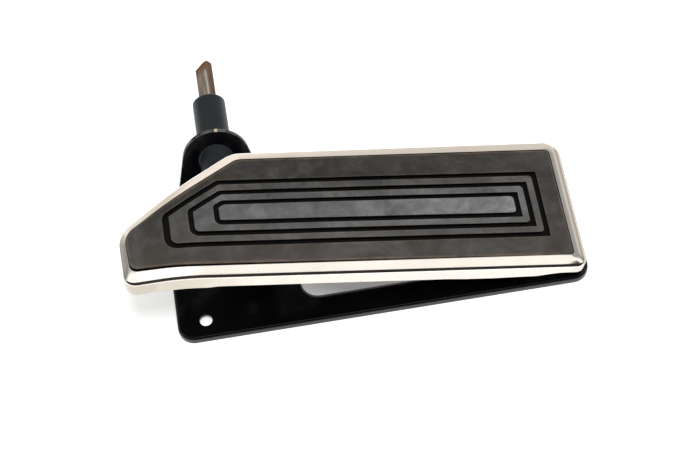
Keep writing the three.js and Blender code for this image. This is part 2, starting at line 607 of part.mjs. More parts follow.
function makeTread() {
  const slab = loft([
    { loop: treadLoop(0), z: TREAD_BOTTOM },
    { loop: treadLoop(0), z: TREAD_TOP - 0.6 },
    { loop: treadLoop(0.6), z: TREAD_TOP },
  ]);
  const grooves = Array.from({ length: GROOVE.count }, (_, k) => grooveRing(k));
  const pocketTop = TREAD_BOTTOM + STUD.headHeight + 0.4;
  const studPockets = STUDS.map((u) => post(STUD.pocket, u, TREAD_MIDDLE, TREAD_BOTTOM - 1, pocketTop, 20));
  return bendToe(cut(slab, [...grooves, ...studPockets]), TREAD_BEND);
}

function makeStud(u) {
  const { shank, foot, head, headHeight } = STUD;
  return turned([
    [0, foot], [shank - 0.5, foot], [shank, foot + 0.5], [shank, TREAD_BOTTOM], [head, TREAD_BOTTOM],
    [head, TREAD_BOTTOM + headHeight], [0, TREAD_BOTTOM + headHeight],
  ], 16).translate([u, TREAD_MIDDLE, 0]);
}

function makeNut(u) {
  const top = FLOOR.bottom - GAP;
  const loop = circleLoop(u, TREAD_MIDDLE, NUT.radius, 6);
  return prism(loop, top - NUT.height, top, [circleLoop(u, TREAD_MIDDLE, STUD.hole, 16)]);
}

function makeLeaf() {
  const plate = prism(trayLoop(LEAF.inset), LEAF.bottom, LEAF.top)
    .intersect(box(LEAF.toe, LEAF.heel, 0, 200, LEAF.bottom, LEAF.top));
  const { half, nearReach, farReach } = LEAF_SLOT;
  const slots = [
    box(-half, half, EAR.baseNear - nearReach, EAR.leafNear - GAP, 0, 10),
    box(-half, half, EAR.leafFar + EAR.sheet + GAP, EAR.baseFar + EAR.sheet + farReach, 0, 10),
  ];
  const ears = [EAR.leafNear, EAR.leafFar].map((v) =>
    sideprism(barLoop([0, 0], EYE_RADIUS, [0, 1], EYE_RADIUS - 0.4), v, v + EAR.sheet)
      .add(box(-LEAF.earHalf, LEAF.earHalf, v, v + EAR.sheet, 0, LEAF.bottom + 0.5))
      .intersect(box(-30, 30, 0, 200, -20, LEAF.top)));
  const bore = rod(HINGE_PIN_RADIUS + LEAF_PLAY, 0, 120, 0, 0, 24);
  return cut(joined([cut(plate, slots), ...ears]), [bore]);
}

const makeSleeve = () =>
  ring(HINGE_PIN_RADIUS + LEAF_PLAY, 4.3, EAR.leafNear + EAR.sheet + GAP, EAR.leafFar - GAP, 0, 0, 24);

// The yoke's slot follows the roller's place at rest, seen from the tilted tray
function makeYoke() {
  const { near, far, slotPlay, edge, travel, shift } = YOKE;
  const dx = leverTip.x - HINGE.x;
  const dz = leverTip.z - HINGE.z;
  const u = dx * Math.cos(tilt) - dz * Math.sin(tilt);
  const h = dx * Math.sin(tilt) + dz * Math.cos(tilt);
  const slotHalf = ROLLER.radius + slotPlay;
  const outer = slotHalf + edge;
  const top = FLOOR.bottom - GAP;
  const from = [u - travel + shift, h];
  const to = [u + travel + shift, h];
  const plate = sideprism(barLoop(from, outer, to, outer), near, far)
    .add(box(u - outer - 2, u + outer + 3, near, far, h, top));
  const slot = sideprism(barLoop(from, slotHalf, to, slotHalf), 0, 120);
  const { depth, sheet, half } = YOKE_FOOT;
  const flange = box(u - half, u + half, far - depth, far, top - sheet, top);
  return plate.add(flange).subtract(slot);
}

// ---- Assembly ----------------------------------------------------------------------------------------

const pedal = new THREE.Group();

pedal.add(toMesh('base_plate', makeBasePlate(), blackPaint));
pedal.add(toMesh('shaft_lug', makeLug(), blackPaint));
pedal.add(toMesh('tube_cradle', makeCradle(), blackPaint));
pedal.add(toMesh('shaft_tube', makeTube(), tubePaint));
pedal.add(toMesh('bush_near', makeBush(BUSH.nearStart), bronze));
pedal.add(toMesh('bush_far', makeBush(BUSH.farStart), bronze));
pedal.add(toMesh('dust_seal', ring(SEAL.bore, TUBE.bore - GAP, SEAL.near, SEAL.far, AXIS.x, AXIS.z, ROUND),
  blackRubber));
pedal.add(toMesh('return_spring', makeSpring(), zincSteel));
pedal.add(toMesh('stop_down', makeStop(DOWN_STOP), blackRubber));
pedal.add(toMesh('stop_up', makeStop(UP_STOP), blackRubber));
LUG_RIVETS.forEach((spot, i) => {
  pedal.add(toMesh(`lug_rivet_${i + 1}`, makeRivet(spot, LUG.sheet), blackPaint));
});
CRADLE_RIVETS.forEach((spot, i) => {
  pedal.add(toMesh(`cradle_rivet_${i + 1}`, makeRivet(spot, CRADLE.sheet), blackPaint));
});

pedal.add(toMesh('hinge_bracket_near', makeHingeBracket(EAR.baseNear, -1), blackPaint));
pedal.add(toMesh('hinge_bracket_far', makeHingeBracket(EAR.baseFar, 1), blackPaint));
HINGE_RIVETS.forEach((spot, i) => {
  pedal.add(toMesh(`hinge_rivet_${i + 1}`, makeRivet(spot, LUG.sheet), blackPaint));
});
pedal.add(toMesh('hinge_pin', makeHingePin(), zincSteel));
pedal.add(toMesh('hinge_washer_near', hingeWasher(EAR.baseNear - 1.3), zincSteel));
pedal.add(toMesh('hinge_washer_far', hingeWasher(EAR.baseFar + EAR.sheet + GAP), zincSteel));
pedal.add(toMesh('hinge_clip',
  snapRing(HINGE_PIN_RADIUS - 0.3, 5, pinEnd + 0.2, pinEnd + 1.2, HINGE.x, HINGE.z), zincSteel));

pedal.add(toMesh('drive_shaft', makeShaft(), wornSteel));
pedal.add(toMesh('lever', makeLever(), zincSteel));
pedal.add(toMesh('lever_pin', makeLeverPin(), zincSteel));
pedal.add(toMesh('shaft_circlip',
  snapRing(CIRCLIP.groove + 0.3, CIRCLIP.outer, CIRCLIP.near, CIRCLIP.far, AXIS.x, AXIS.z), zincSteel));
pedal.add(toMesh('thrust_washer',
  ring(THRUST.bore, THRUST.outer, THRUST.near, THRUST.far, AXIS.x, AXIS.z, ROUND), bronze));

pedal.add(toMesh('roller', makeRoller(), bronze));
pedal.add(toMesh('roller_pin', makeRollerPin(), zincSteel));
pedal.add(toMesh('roller_clip', makeRollerClip(), zincSteel));

const footboard = new THREE.Group();
footboard.position.set(HINGE.x, 0, HINGE.z);
footboard.rotation.y = tilt;
footboard.add(toMesh('tread_tray', makeTray(), polished));
footboard.add(toMesh('tread_rubber', makeTread(), rubber));
footboard.add(toMesh('hinge_leaf', makeLeaf(), zincSteel));
footboard.add(toMesh('hinge_sleeve', makeSleeve(), bronze));
footboard.add(toMesh('yoke', makeYoke(), zincSteel));
STUDS.forEach((u, i) => {
  footboard.add(toMesh(`tread_stud_${i + 1}`, makeStud(u), zincSteel));
  footboard.add(toMesh(`tread_nut_${i + 1}`, makeNut(u), zincSteel));
});
pedal.add(footboard);

pedal.updateMatrixWorld(true);
const bounds = new THREE.Box3().setFromObject(pedal, true);
const middle = bounds.getCenter(new THREE.Vector3());
pedal.position.set(-middle.x, -middle.y, -bounds.min.z);

export default pedal;
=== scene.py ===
import json
import math
import random

import bmesh
import bpy
from mathutils import Matrix, Vector


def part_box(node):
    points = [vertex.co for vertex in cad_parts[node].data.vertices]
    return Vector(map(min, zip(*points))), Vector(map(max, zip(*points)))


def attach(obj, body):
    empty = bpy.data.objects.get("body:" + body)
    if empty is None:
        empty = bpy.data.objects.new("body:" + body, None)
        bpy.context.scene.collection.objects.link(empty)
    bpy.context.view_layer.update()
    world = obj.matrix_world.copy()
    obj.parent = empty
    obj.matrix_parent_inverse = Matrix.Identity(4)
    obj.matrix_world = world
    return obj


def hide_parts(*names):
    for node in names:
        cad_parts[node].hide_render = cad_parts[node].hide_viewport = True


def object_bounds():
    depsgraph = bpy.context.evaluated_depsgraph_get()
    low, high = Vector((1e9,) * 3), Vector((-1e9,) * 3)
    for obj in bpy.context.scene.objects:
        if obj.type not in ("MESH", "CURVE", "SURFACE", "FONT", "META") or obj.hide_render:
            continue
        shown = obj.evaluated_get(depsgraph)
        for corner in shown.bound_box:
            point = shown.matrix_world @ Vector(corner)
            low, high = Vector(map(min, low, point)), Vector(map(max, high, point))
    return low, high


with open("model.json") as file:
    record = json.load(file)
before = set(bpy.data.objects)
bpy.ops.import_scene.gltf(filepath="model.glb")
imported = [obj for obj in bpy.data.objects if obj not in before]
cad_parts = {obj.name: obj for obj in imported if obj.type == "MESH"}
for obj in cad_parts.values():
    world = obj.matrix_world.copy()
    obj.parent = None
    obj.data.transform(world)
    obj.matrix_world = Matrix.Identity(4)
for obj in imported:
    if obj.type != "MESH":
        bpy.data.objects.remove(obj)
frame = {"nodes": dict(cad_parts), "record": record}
cad_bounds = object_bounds()
nodes = frame["nodes"]
MM = 0.001
BASE_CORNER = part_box("base_plate")[0]

# ---- Dimensions in millimetres, from the base plate's near toe corner ----------------------------

BASE = {"length": 310, "width": 124, "height": 6, "sheet": 2.5, "corner": 12.5, "round": 2}
WINDOW = {"left": 96, "right": 250, "near": 22, "far": 98, "corner": 13}
LIP = {"width": 5.2, "drop": 3.2, "steps": 7}
BOLT_HOLES = [(21.6, 14.9), (21.6, 92), (259, 15.2), (260, 113)]
BOLT_HOLE_RADIUS = 4.7
RIVETS = [(18, 112), (37, 112), (57, 112), (76, 112), (36, 89), (58, 89),
          (277, 15.5), (301, 15.5), (277, 97.5), (301, 97.5)]
RIVET_HOLE_RADIUS = 2.8
STOPS = [(66.4, 74.5), (26.4, 74.5)]
STOP_HOLE_RADIUS = 2.7
# The cross shaft's axis as (x, z), and from it the corner where the worn tip starts as (x, z, y)
AXIS = (47.4, 34)
RIDGE = (1.2, 6.6, 219.3)
TUBE = {"radius": 12.7, "bore": 9.9, "near": 92, "far": 191.4, "round": 2, "facets": 96}
TUBE_RINGS = range(100, 189, 8)
LUG = {"lean": 20, "front": 124.7, "sheet": 2.5, "radius": 26}
WELD = {"points": 120, "ripples": 27, "size": 0.95, "ripple": 0.1, "uneven": 0.05}
CORNER_STEPS = 12
ROUND_STEPS = 6
SHARP, TUBE_SHARP, WELD_SHARP = 40, 35, 60

# On the board: u runs from the hinge towards the heel, v across it and h up from the hinge
HINGE = (289.5, 14)
TILT = math.radians(13)
TREAD_TOP = 14
TREAD_BOTTOM = 9.1
FLOOR_TOP = 8.8
FLOOR_BOTTOM = 7
MIDDLE = 56.7
# Outlines as (u, v, radius), from the near heel by the far side to the toe and along the near edge
POCKET = [(6, 9.3, 3), (6, 103.8, 4), (-236, 102.5, 14), (-324, 45.4, 14), (-322.5, 14.4, 6),
          (-276, 12, 300)]
RUBBER = POCKET[:4] + [(-322.5, 15.6, 6), (-268, 13.5, 300)]
TRAY = [(15.6, -0.4, 8), (15.6, 113.4, 11), (-238.9, 110.6, 22), (-330, 48.9, 21), (-329, 4.3, 10),
        (-258, 2.9, 300)]
WALL = 2.2
ROLL = 3.3
ROLL_END = math.radians(72)
ROLL_STEPS = 10
TRAY_PIECE = 4.0
CREST = 11.95
# The bevel's rings as (share of the way in, rise over the crest, extra rise at the heel end)
BEVEL_RINGS = ((0.25, 0.56, 0.34), (0.5, 1.05, 0.44), (0.75, 1.47, 0.26), (0.93, 1.74, 0.05))
# The pocket's wall as (height, distance in from the bevel's inner edge)
POCKET_RINGS = ((13.75, 0), (13.4, 0.15), (FLOOR_TOP + 0.6, 0.2), (FLOOR_TOP, 0.8))
# How much of the wall's rougher finish and painted shade each ring takes, from the skirt's lower
# edge upwards
WALL_FINISH_AND_SHADE = [1.0] * 7 + [0.7, 0.3]
# The skirt's lower edge as (u, h), and the room in it for the cross tube at the far side
SKIRT_EDGE = ((-400, -2.5), (-264, -2.5), (-262, -1.0), (-90, -1.0), (-75, -1.7), (-52, -1.7),
              (-38, -1.0), (-22, -0.7), (-11, 1.9), (-4, 3.1), (30, 3.4))
SKIRT_RELIEF = {"toe": -293, "heel": -213, "near": 63, "height": 7.2}
# The outer edge of the outermost groove, and how far each next groove moves from it
GROOVE_EDGES = {
    "heel": (-8.6, -9), "heel_near": (25.9, 9), "heel_far": (84, -9),
    "toe": (-296, 19), "toe_near": (28.1, 9),
    "shoulder": (-252.9, 0.85), "far": (84.5, -8.8),
}
CHAMFER = math.tan(math.radians(33))
GROOVE_COUNT = 3
GROOVE_DEPTH = 2.4
GROOVE_WIDTHS = (4, 3.5, 3.6, 3.8, 3.9)
FIRST_GROOVE_TOE = 4.8
BAR_CORNER = 3
BAR_SHADE = 0.33
TREAD_CORNER_STEPS = 10
TREAD_CUTS = range(-264, 0, 8)
TREAD_SETTLE = 0.15
STUDS = (-60, -120, -180, -240)
BEND_FROM, BEND_TO = 269, 303
BEND_STEPS = 12
TRAY_BEND, TREAD_BEND = 14.1, 12.0


# ---- Mesh tools ----------------------------------------------------------------------------------

def base_point(x, y, z):
    """A point in metres, from millimetres from the base's near toe corner."""
    return BASE_CORNER + Vector((x, y, z)) * MM


def bent(u, h, degrees):
    """u and h of a board point after the toe has been turned down along a smooth curve."""
    run = -u
    if run <= BEND_FROM:
        return u, h
    total = math.radians(degrees)
    length = BEND_TO - BEND_FROM
    along = min(run, BEND_TO) - BEND_FROM
    angle = total * along / length
    radius = length / total
    top_u = -BEND_FROM - radius * math.sin(angle)
    top_h = TREAD_TOP - radius * (1 - math.cos(angle))
    rest = max(run - BEND_TO, 0)
    top_u -= rest * math.cos(angle)
    top_h -= rest * math.sin(angle)
    depth = h - TREAD_TOP
    return top_u - depth * math.sin(angle), top_h + depth * math.cos(angle)


def board_point(u, v, h, degrees):
    """The same for a point of the board, whose toe is turned down by degrees."""
    u, h = bent(u, h, degrees)
    x = HINGE[0] + u * math.cos(TILT) + h * math.sin(TILT)
    z = HINGE[1] - u * math.sin(TILT) + h * math.cos(TILT)
    return base_point(x, v, z)


def rounded_loop(corners, steps):
    """Points round an outline of (x, y, radius) corners, the same number at every corner."""
    points = []
    count = len(corners)
    for i, (x, y, radius) in enumerate(corners):
        corner = Vector((x, y))
        before = (Vector(corners[i - 1][:2]) - corner).normalized()
        after = (Vector(corners[(i + 1) % count][:2]) - corner).normalized()
        half = math.acos(max(-1, min(1, before.dot(after)))) / 2
        centre = corner + (before + after).normalized() * (radius / math.sin(half))
        start = corner + before * (radius / math.tan(half)) - centre
        end = corner + after * (radius / math.tan(half)) - centre
        sweep = math.atan2(start.x * end.y - start.y * end.x, start.dot(end))
        for k in range(steps + 1):
            angle = sweep * k / steps
            c, s = math.cos(angle), math.sin(angle)
            points.append(centre + Vector((start.x * c - start.y * s, start.x * s + start.y * c)))
    return points


def inset_corners(corners, distances):
    """Corners of an outline whose sides have each moved in by their own distance."""
    count = len(corners)
    lines = []
    for i, (x, y, _) in enumerate(corners):
        nx, ny, _ = corners[(i + 1) % count]
        along = Vector((nx - x, ny - y)).normalized()
        lines.append((Vector((x, y)) + Vector((-along.y, along.x)) * distances[i], along))
    moved = []
    for i, (_, _, radius) in enumerate(corners):
        (a, da), (b, db) = lines[i - 1], lines[i]
        gap = b - a
        t = (gap.x * db.y - gap.y * db.x) / (da.x * db.y - da.y * db.x)
        p = a + da * t
        moved.append((p.x, p.y, max(radius - distances[i], 0.6)))
    return moved


def inset_loop(corners, distance, steps):
    return rounded_loop(inset_corners(corners, [distance] * len(corners)), steps)


def mixed(loop_a, loop_b, share):
    """The loop a share of the way from one loop to the other."""
    return [a.lerp(b, share) for a, b in zip(loop_a, loop_b)]


def circle(x, y, radius, count=32):
    return [Vector((x + radius * math.cos(2 * math.pi * k / count),
                    y + radius * math.sin(2 * math.pi * k / count))) for k in range(count)]


def add_ring(bm, loop, height):
    """A closed row of vertices. height is a number or a function of the point."""
    rise = height if callable(height) else lambda p: height
    return [bm.verts.new((p.x, p.y, rise(p))) for p in loop]


def bridge(bm, a, b):
    """A band of faces between two rows of vertices."""
    for i, j in zip(range(len(a)), [*range(1, len(a)), 0]):
        bm.faces.new((a[i], a[j], b[j], b[i]))


def fill_between(bm, rings):
    """A flat face between an outer ring and any rings inside it."""
    edges = []
    for ring in rings:
        for i in range(len(ring)):
            ends = (ring[i], ring[(i + 1) % len(ring)])
            edges.append(bm.edges.get(ends) or bm.edges.new(ends))
    bmesh.ops.triangle_fill(bm, use_beauty=True, use_dissolve=False, edges=edges)


def settled(obj):
    """Applies the modifiers, with normals led by the larger faces so that flat faces look flat."""
    modifier = obj.modifiers.new("normals", "WEIGHTED_NORMAL")
    modifier.weight = 90
    modifier.keep_sharp = True
    graph = bpy.context.evaluated_depsgraph_get()
    mesh = bpy.data.meshes.new_from_object(obj.evaluated_get(graph))
    obj.modifiers.clear()
    obj.data = mesh
    return obj


def to_object(name, bm, angle):
    """A smooth object, with sharp edges where faces meet at more than the angle in degrees."""
    bmesh.ops.recalc_face_normals(bm, faces=bm.faces)
    mesh = bpy.data.meshes.new(name)
    bm.to_mesh(mesh)
    bm.free()
    for polygon in mesh.polygons:
        polygon.use_smooth = True
    mesh.set_sharp_from_angle(angle=math.radians(angle))
    obj = bpy.data.objects.new(name, mesh)
    bpy.context.scene.collection.objects.link(obj)
    return settled(obj)


def cut_across(bm, positions):
    """Splits faces along planes of constant x, so that they can be bent."""
    for position in positions:
        geometry = bm.verts[:] + bm.edges[:] + bm.faces[:]
        bmesh.ops.bisect_plane(bm, geom=geometry, dist=1e-5,
                               plane_co=(position, 0, 0), plane_no=(1, 0, 0))


def bend_cuts():
    length = BEND_TO - BEND_FROM
    return [-(BEND_FROM + length * k / BEND_STEPS) for k in range(BEND_STEPS + 1)]


def place(obj, body, material, replaced=()):
    """Gives a piece its finish and its body, and hides the CAD nodes it stands for."""
    obj.data.materials.clear()
    obj.data.materials.append(material)
    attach(obj, body)
    if replaced:
        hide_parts(*replaced)


# ---- Materials -----------------------------------------------------------------------------------

class Nodes:
    """A short way to write node trees."""

    def __init__(self, name):
        self.material = bpy.data.materials.new(name)
        self.material.use_nodes = True
        self.tree = self.material.node_tree
        self.shader = self.tree.nodes["Principled BSDF"]
        self.coords = self.tree.nodes.new("ShaderNodeTexCoord").outputs["Object"]

    def new(self, kind, **values):
        node = self.tree.nodes.new("ShaderNode" + kind)
        for key, value in values.items():
            setattr(node, key, value)
        return node

    def link(self, source, target):
        self.tree.links.new(source, target)

    def stretched(self, scale):
        node = self.new("Mapping")
        self.link(self.coords, node.inputs["Vector"])
        node.inputs["Scale"].default_value = scale
        return node.outputs["Vector"]

    def noise(self, scale, detail=4.0, roughness=0.55, vector=None, distortion=0.0):
        node = self.new("TexNoise")
        self.link(vector or self.coords, node.inputs["Vector"])
        node.inputs["Scale"].default_value = scale
        node.inputs["Detail"].default_value = detail
        node.inputs["Roughness"].default_value = roughness
        node.inputs["Distortion"].default_value = distortion
        return node.outputs["Fac"]

    def cells(self, scale):
        node = self.new("TexVoronoi")
        self.link(self.coords, node.inputs["Vector"])
        node.inputs["Scale"].default_value = scale
        return node.outputs["Distance"]

    def ramp(self, source, *stops):
        node = self.new("ValToRGB")
        self.link(source, node.inputs["Fac"])
        elements = node.color_ramp.elements
        while len(elements) < len(stops):
            elements.new(0.5)
        for element, (position, value) in zip(elements, stops):
            element.position = position
            colour = value if isinstance(value, tuple) else (value, value, value)
            element.color = (*colour, 1.0)
        return node.outputs["Color"]

    def mix(self, share, a, b):
        node = self.new("Mix", data_type="RGBA")
        for socket, value in ((node.inputs[0], share), (node.inputs[6], a), (node.inputs[7], b)):
            if isinstance(value, bpy.types.NodeSocket):
                self.link(value, socket)
            elif isinstance(value, tuple):
                socket.default_value = (*value, 1.0)
            else:
                socket.default_value = value
        return node.outputs[2]

    def math(self, operation, a, b=0.0):
        node = self.new("Math", operation=operation)
        for socket, value in ((node.inputs[0], a), (node.inputs[1], b)):
            if isinstance(value, bpy.types.NodeSocket):
                self.link(value, socket)
            else:
                socket.default_value = value
        return node.outputs[0]

    def scaled(self, source, low, high):
        """Low to high over the middle half of a noise."""
        node = self.new("MapRange")
        self.link(source, node.inputs["Value"])
        node.inputs["From Min"].default_value = 0.25
        node.inputs["From Max"].default_value = 0.75
        node.inputs["To Min"].default_value = low
        node.inputs["To Max"].default_value = high
        return node.outputs["Result"]

    def attribute(self, name):
        return self.new("Attribute", attribute_name=name).outputs["Fac"]

    def along(self, axis):
        node = self.new("SeparateXYZ")
        self.link(self.coords, node.inputs["Vector"])
        return node.outputs[axis]

    def window(self, source, start, end):
        """0 below start and 1 above end, with a straight slope between them."""
        node = self.new("MapRange")
        self.link(source, node.inputs["Value"])
        node.inputs["From Min"].default_value = start
        node.inputs["From Max"].default_value = end
        return node.outputs["Result"]

    def bump(self, source, strength, distance, after=None):
        node = self.new("Bump")
        self.link(source, node.inputs["Height"])
        node.inputs["Strength"].default_value = strength
        node.inputs["Distance"].default_value = distance
        if after:
            self.link(after, node.inputs["Normal"])
        return node.outputs["Normal"]

    def finish(self, colour, roughness, normal, metallic=0.0, specular=0.5):
        for value, name in ((colour, "Base Color"), (roughness, "Roughness"), (normal, "Normal")):
            self.link(value, self.shader.inputs[name])
        self.shader.inputs["Metallic"].default_value = metallic
        self.shader.inputs["Specular IOR Level"].default_value = specular
        return self.material


TREAD_COLOURS = {
    "far": ((0.3, (0.021, 0.020, 0.018)), (0.5, (0.034, 0.033, 0.031)),
            (0.72, (0.066, 0.064, 0.062))),
    "near": ((0.3, (0.047, 0.041, 0.036)), (0.5, (0.068, 0.063, 0.058)),
             (0.72, (0.112, 0.107, 0.102))),
    "bars": ((0.28, (0.075, 0.076, 0.077)), (0.50, (0.135, 0.137, 0.139)),
             (0.72, (0.225, 0.227, 0.229))),
    "heel_bars": ((0.28, (0.11, 0.111, 0.112)), (0.50, (0.21, 0.213, 0.215)),
                  (0.72, (0.35, 0.353, 0.355))),
    "brown": (0.048, 0.037, 0.029),
    "grey": (0.115, 0.112, 0.108),
    "specks": (0.42, 0.42, 0.40),
    "worn_edge": (0.23, 0.17, 0.125),
    # Near black painted shade in the grooves and down the rubber's outer wall
    "groove": (0.0018, 0.0018, 0.0021),
}
METAL_COLOURS = {
    "bright": ((0.35, (0.885, 0.835, 0.765)), (0.65, (0.945, 0.905, 0.845))),
    # Painted shade: the darker colours of the wall, the toe and heel walls and the heel's roll
    "wall": (0.73, 0.685, 0.625),
    "toe_wall_shade": (0.49, 0.45, 0.385),
    "heel_wall_shade": (0.60, 0.55, 0.485),
    "heel_roll_shade": (0.56, 0.505, 0.45),
    "pits": (0.03, 0.028, 0.025),
    "underside": ((0.3, (0.030, 0.029, 0.028)), (0.7, (0.075, 0.072, 0.068))),
}
BLACK_PAINT = ((0.0012, 0.0014, 0.0019), (0.0024, 0.0028, 0.0038))
TUBE_PAINT = ((0.0150, 0.0177, 0.0210), (0.0275, 0.0320, 0.0370))
PAINT_COLOURS = {
    "specks": (0.22, 0.20, 0.17),
    # Painted highlight on the lug's top edge
    "rim_highlight": (0.17, 0.17, 0.175),
    "chip": (0.60, 0.50, 0.36),
}
SHAFT_COLOURS = {
    "steel": ((0.3, (0.145, 0.112, 0.082)), (0.5, (0.225, 0.180, 0.138)),
              (0.7, (0.34, 0.285, 0.23))),
    "rust": ((0.3, (0.028, 0.012, 0.005)), (0.5, (0.072, 0.034, 0.013)),
             (0.62, (0.13, 0.058, 0.019)), (0.75, (0.15, 0.100, 0.06))),
    "tip": (0.20, 0.082, 0.026),
    # Painted highlight along the shaft's top ridge
    "ridge": (0.52, 0.48, 0.44),
}
ZINC = ((0.40, 0.405, 0.415), (0.58, 0.58, 0.575))
BRONZE = ((0.36, 0.225, 0.095), (0.56, 0.38, 0.17))
SOFT_BLACK = ((0.010, 0.010, 0.010), (0.028, 0.027, 0.026))


def rubber_material():
    """Black rubber, browner and greyer on the near side from the wear of feet, and also towards the
    heel end and on the bars, most on the bars at the heel.
    """
    n = Nodes("tread_rubber")
    low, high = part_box("tread_rubber")
    streaks = n.noise(16, 5, 0.6, n.stretched((1.0, 4.0, 1.0)), 0.6)
    clouds = n.noise(22, 7, 0.68, distortion=1.0)
    blotches = n.noise(55, 6, 0.7, distortion=0.5)
    grain = n.noise(900, 3, 0.6)
    dark = n.ramp(clouds, *TREAD_COLOURS["far"])
    light_marks = n.ramp(clouds, *TREAD_COLOURS["near"])
    near = n.window(n.along("Y"), high.y - 0.035, low.y + 0.02)
    heel = n.window(n.along("X"), low.x + 0.16, high.x - 0.04)
    base = n.mix(n.math("MAXIMUM", near, n.math("MULTIPLY", heel, 0.4)), dark, light_marks)
    base = n.mix(n.ramp(streaks, (0.45, 0.0), (0.70, 0.5)), base, TREAD_COLOURS["brown"])
    base = n.mix(n.ramp(blotches, (0.50, 0.0), (0.75, 0.5)), base, TREAD_COLOURS["grey"])
    bars = n.ramp(blotches, *TREAD_COLOURS["bars"])
    # The bars are lighter towards the heel end
    bright = n.ramp(blotches, *TREAD_COLOURS["heel_bars"])
    bars = n.mix(n.math("MULTIPLY", heel, n.attribute("bar")), bars, bright)
    colour = n.mix(n.math("MULTIPLY", n.attribute("bar"), 0.85), base, bars)
    specks = n.ramp(n.cells(420), (0.06, 0.6), (0.10, 0.0))
    thin_out = n.ramp(n.noise(160, 2), (0.57, 0.0), (0.62, 1.0))
    colour = n.mix(n.math("MULTIPLY", specks, thin_out), colour, TREAD_COLOURS["specks"])
    patches = n.ramp(n.noise(60, 4), (0.35, 0.15), (0.65, 0.8))
    worn_edge = n.math("MULTIPLY", n.attribute("edge"), patches)
    colour = n.mix(worn_edge, colour, TREAD_COLOURS["worn_edge"])
    # Painted shade in the grooves
    colour = n.mix(n.attribute("groove"), colour, TREAD_COLOURS["groove"])
    fine = n.bump(grain, 0.25, 0.0002)
    normal = n.bump(n.noise(120, 4), 0.12, 0.0004, fine)
    return n.finish(colour, n.scaled(clouds, 0.60, 0.80), normal, specular=0.2)


def polished_material():
    """Polished metal, rougher on the tray's wall, with painted shade on the wall, most at the toe
    and heel ends, and on the heel's roll; dark underneath.
    """
    n = Nodes("polished_tray")
    clouds = n.noise(30, 4, 0.6)
    brush = n.noise(260, 3, 0.6, n.stretched((0.05, 1.0, 1.0)))
    scratch = n.noise(900, 2, 0.5, n.stretched((0.02, 1.0, 1.0)), 0.3)
    warm = n.ramp(clouds, *METAL_COLOURS["bright"])
    pits = n.ramp(n.cells(170), (0.035, 1.0), (0.055, 0.0))
    few = n.ramp(n.noise(75, 2), (0.585, 0.0), (0.62, 1.0))
    low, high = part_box("tread_tray")
    toe = n.window(n.along("X"), low.x + 0.13, low.x + 0.02)
    heel = n.window(n.along("X"), high.x - 0.016, high.x - 0.006)
    # Painted shade: darker wall colours, darkest towards the toe, stand in for the wall's darker
    # reflections
    wall_shade = n.mix(toe, METAL_COLOURS["wall"], METAL_COLOURS["toe_wall_shade"])
    wall_shade = n.mix(heel, wall_shade, METAL_COLOURS["heel_wall_shade"])
    wall_shade = n.mix(n.ramp(clouds, (0.45, 0.0), (0.8, 0.4)), wall_shade, warm)
    warm = n.mix(n.attribute("wall"), warm, wall_shade)
    # Painted shade on the heel's roll
    heel_roll_shade = n.window(n.along("X"), high.x - 0.0045, high.x - 0.0025)
    warm = n.mix(heel_roll_shade, warm, METAL_COLOURS["heel_roll_shade"])
    colour = n.mix(n.math("MULTIPLY", pits, few), warm, METAL_COLOURS["pits"])
    underside = n.ramp(clouds, *METAL_COLOURS["underside"])
    colour = n.mix(n.attribute("under"), colour, underside)
    duller = n.math("MULTIPLY", n.attribute("wall"), 0.12)
    roughness = n.math("ADD", n.scaled(brush, 0.06, 0.17), duller)
    roughness = n.math("ADD", roughness, n.math("MULTIPLY", n.attribute("under"), 0.35))
    normal = n.bump(brush, 0.05, 0.0002, n.bump(scratch, 0.035, 0.00008))
    normal = n.bump(n.noise(22, 2), 0.10, 0.0010, normal)
    return n.finish(colour, roughness, normal, metallic=1.0)


def paint_material(name, shades, rough, specular, light_marks=False):
    """Black paint with fine specks. Its last argument adds a painted highlight along the lug's top
    edge, and the chip in it.
    """
    n = Nodes(name)
    clouds = n.noise(35, 5, 0.6)
    peel = n.noise(520, 3, 0.5)
    colour = n.ramp(clouds, (0.3, shades[0]), (0.75, shades[1]))
    specks = n.ramp(n.cells(330), (0.045, 0.5), (0.075, 0.0))
    few = n.ramp(n.noise(110, 2), (0.58, 0.0), (0.63, 1.0))
    colour = n.mix(n.math("MULTIPLY", specks, few), colour, PAINT_COLOURS["specks"])
    if light_marks:
        # Painted highlight along the lug's top edge, and a chip of the paint in it
        centre = base_point(AXIS[0], 0, AXIS[1])
        lean = math.cos(math.radians(LUG["lean"]))
        across = n.math("SUBTRACT", n.along("X"), centre.x)
        up = n.math("DIVIDE", n.math("SUBTRACT", n.along("Z"), centre.z), lean)
        squares = n.math("ADD", n.math("MULTIPLY", across, across), n.math("MULTIPLY", up, up))
        reach = n.math("SQRT", squares)
        rim = n.window(reach, (LUG["radius"] - 0.45) * MM, (LUG["radius"] - 0.15) * MM)
        rim = n.math("MULTIPLY", rim, n.window(up, -0.004, 0.004))
        rim_highlight = n.math("MULTIPLY", rim, n.ramp(n.noise(95, 5, 0.7), (0.40, 0.10), (0.60, 0.8)))
        colour = n.mix(rim_highlight, colour, PAINT_COLOURS["rim_highlight"])
        from_chip = n.math("ABSOLUTE", n.math("SUBTRACT", across, 0.003))
        chip = n.math("MULTIPLY", rim, n.window(from_chip, 0.0014, 0.0009))
        colour = n.mix(chip, colour, PAINT_COLOURS["chip"])
    scuffs = n.noise(85, 6, 0.7, n.stretched((0.35, 1.0, 1.0)), 1.2)
    scuffs = n.math("MULTIPLY", n.ramp(scuffs, (0.62, 0.0), (0.75, 0.25)), 0.4)
    roughness = n.math("ADD", n.scaled(clouds, rough - 0.05, rough + 0.06), scuffs)
    return n.finish(colour, roughness, n.bump(peel, 0.06, 0.0003), specular=specular)


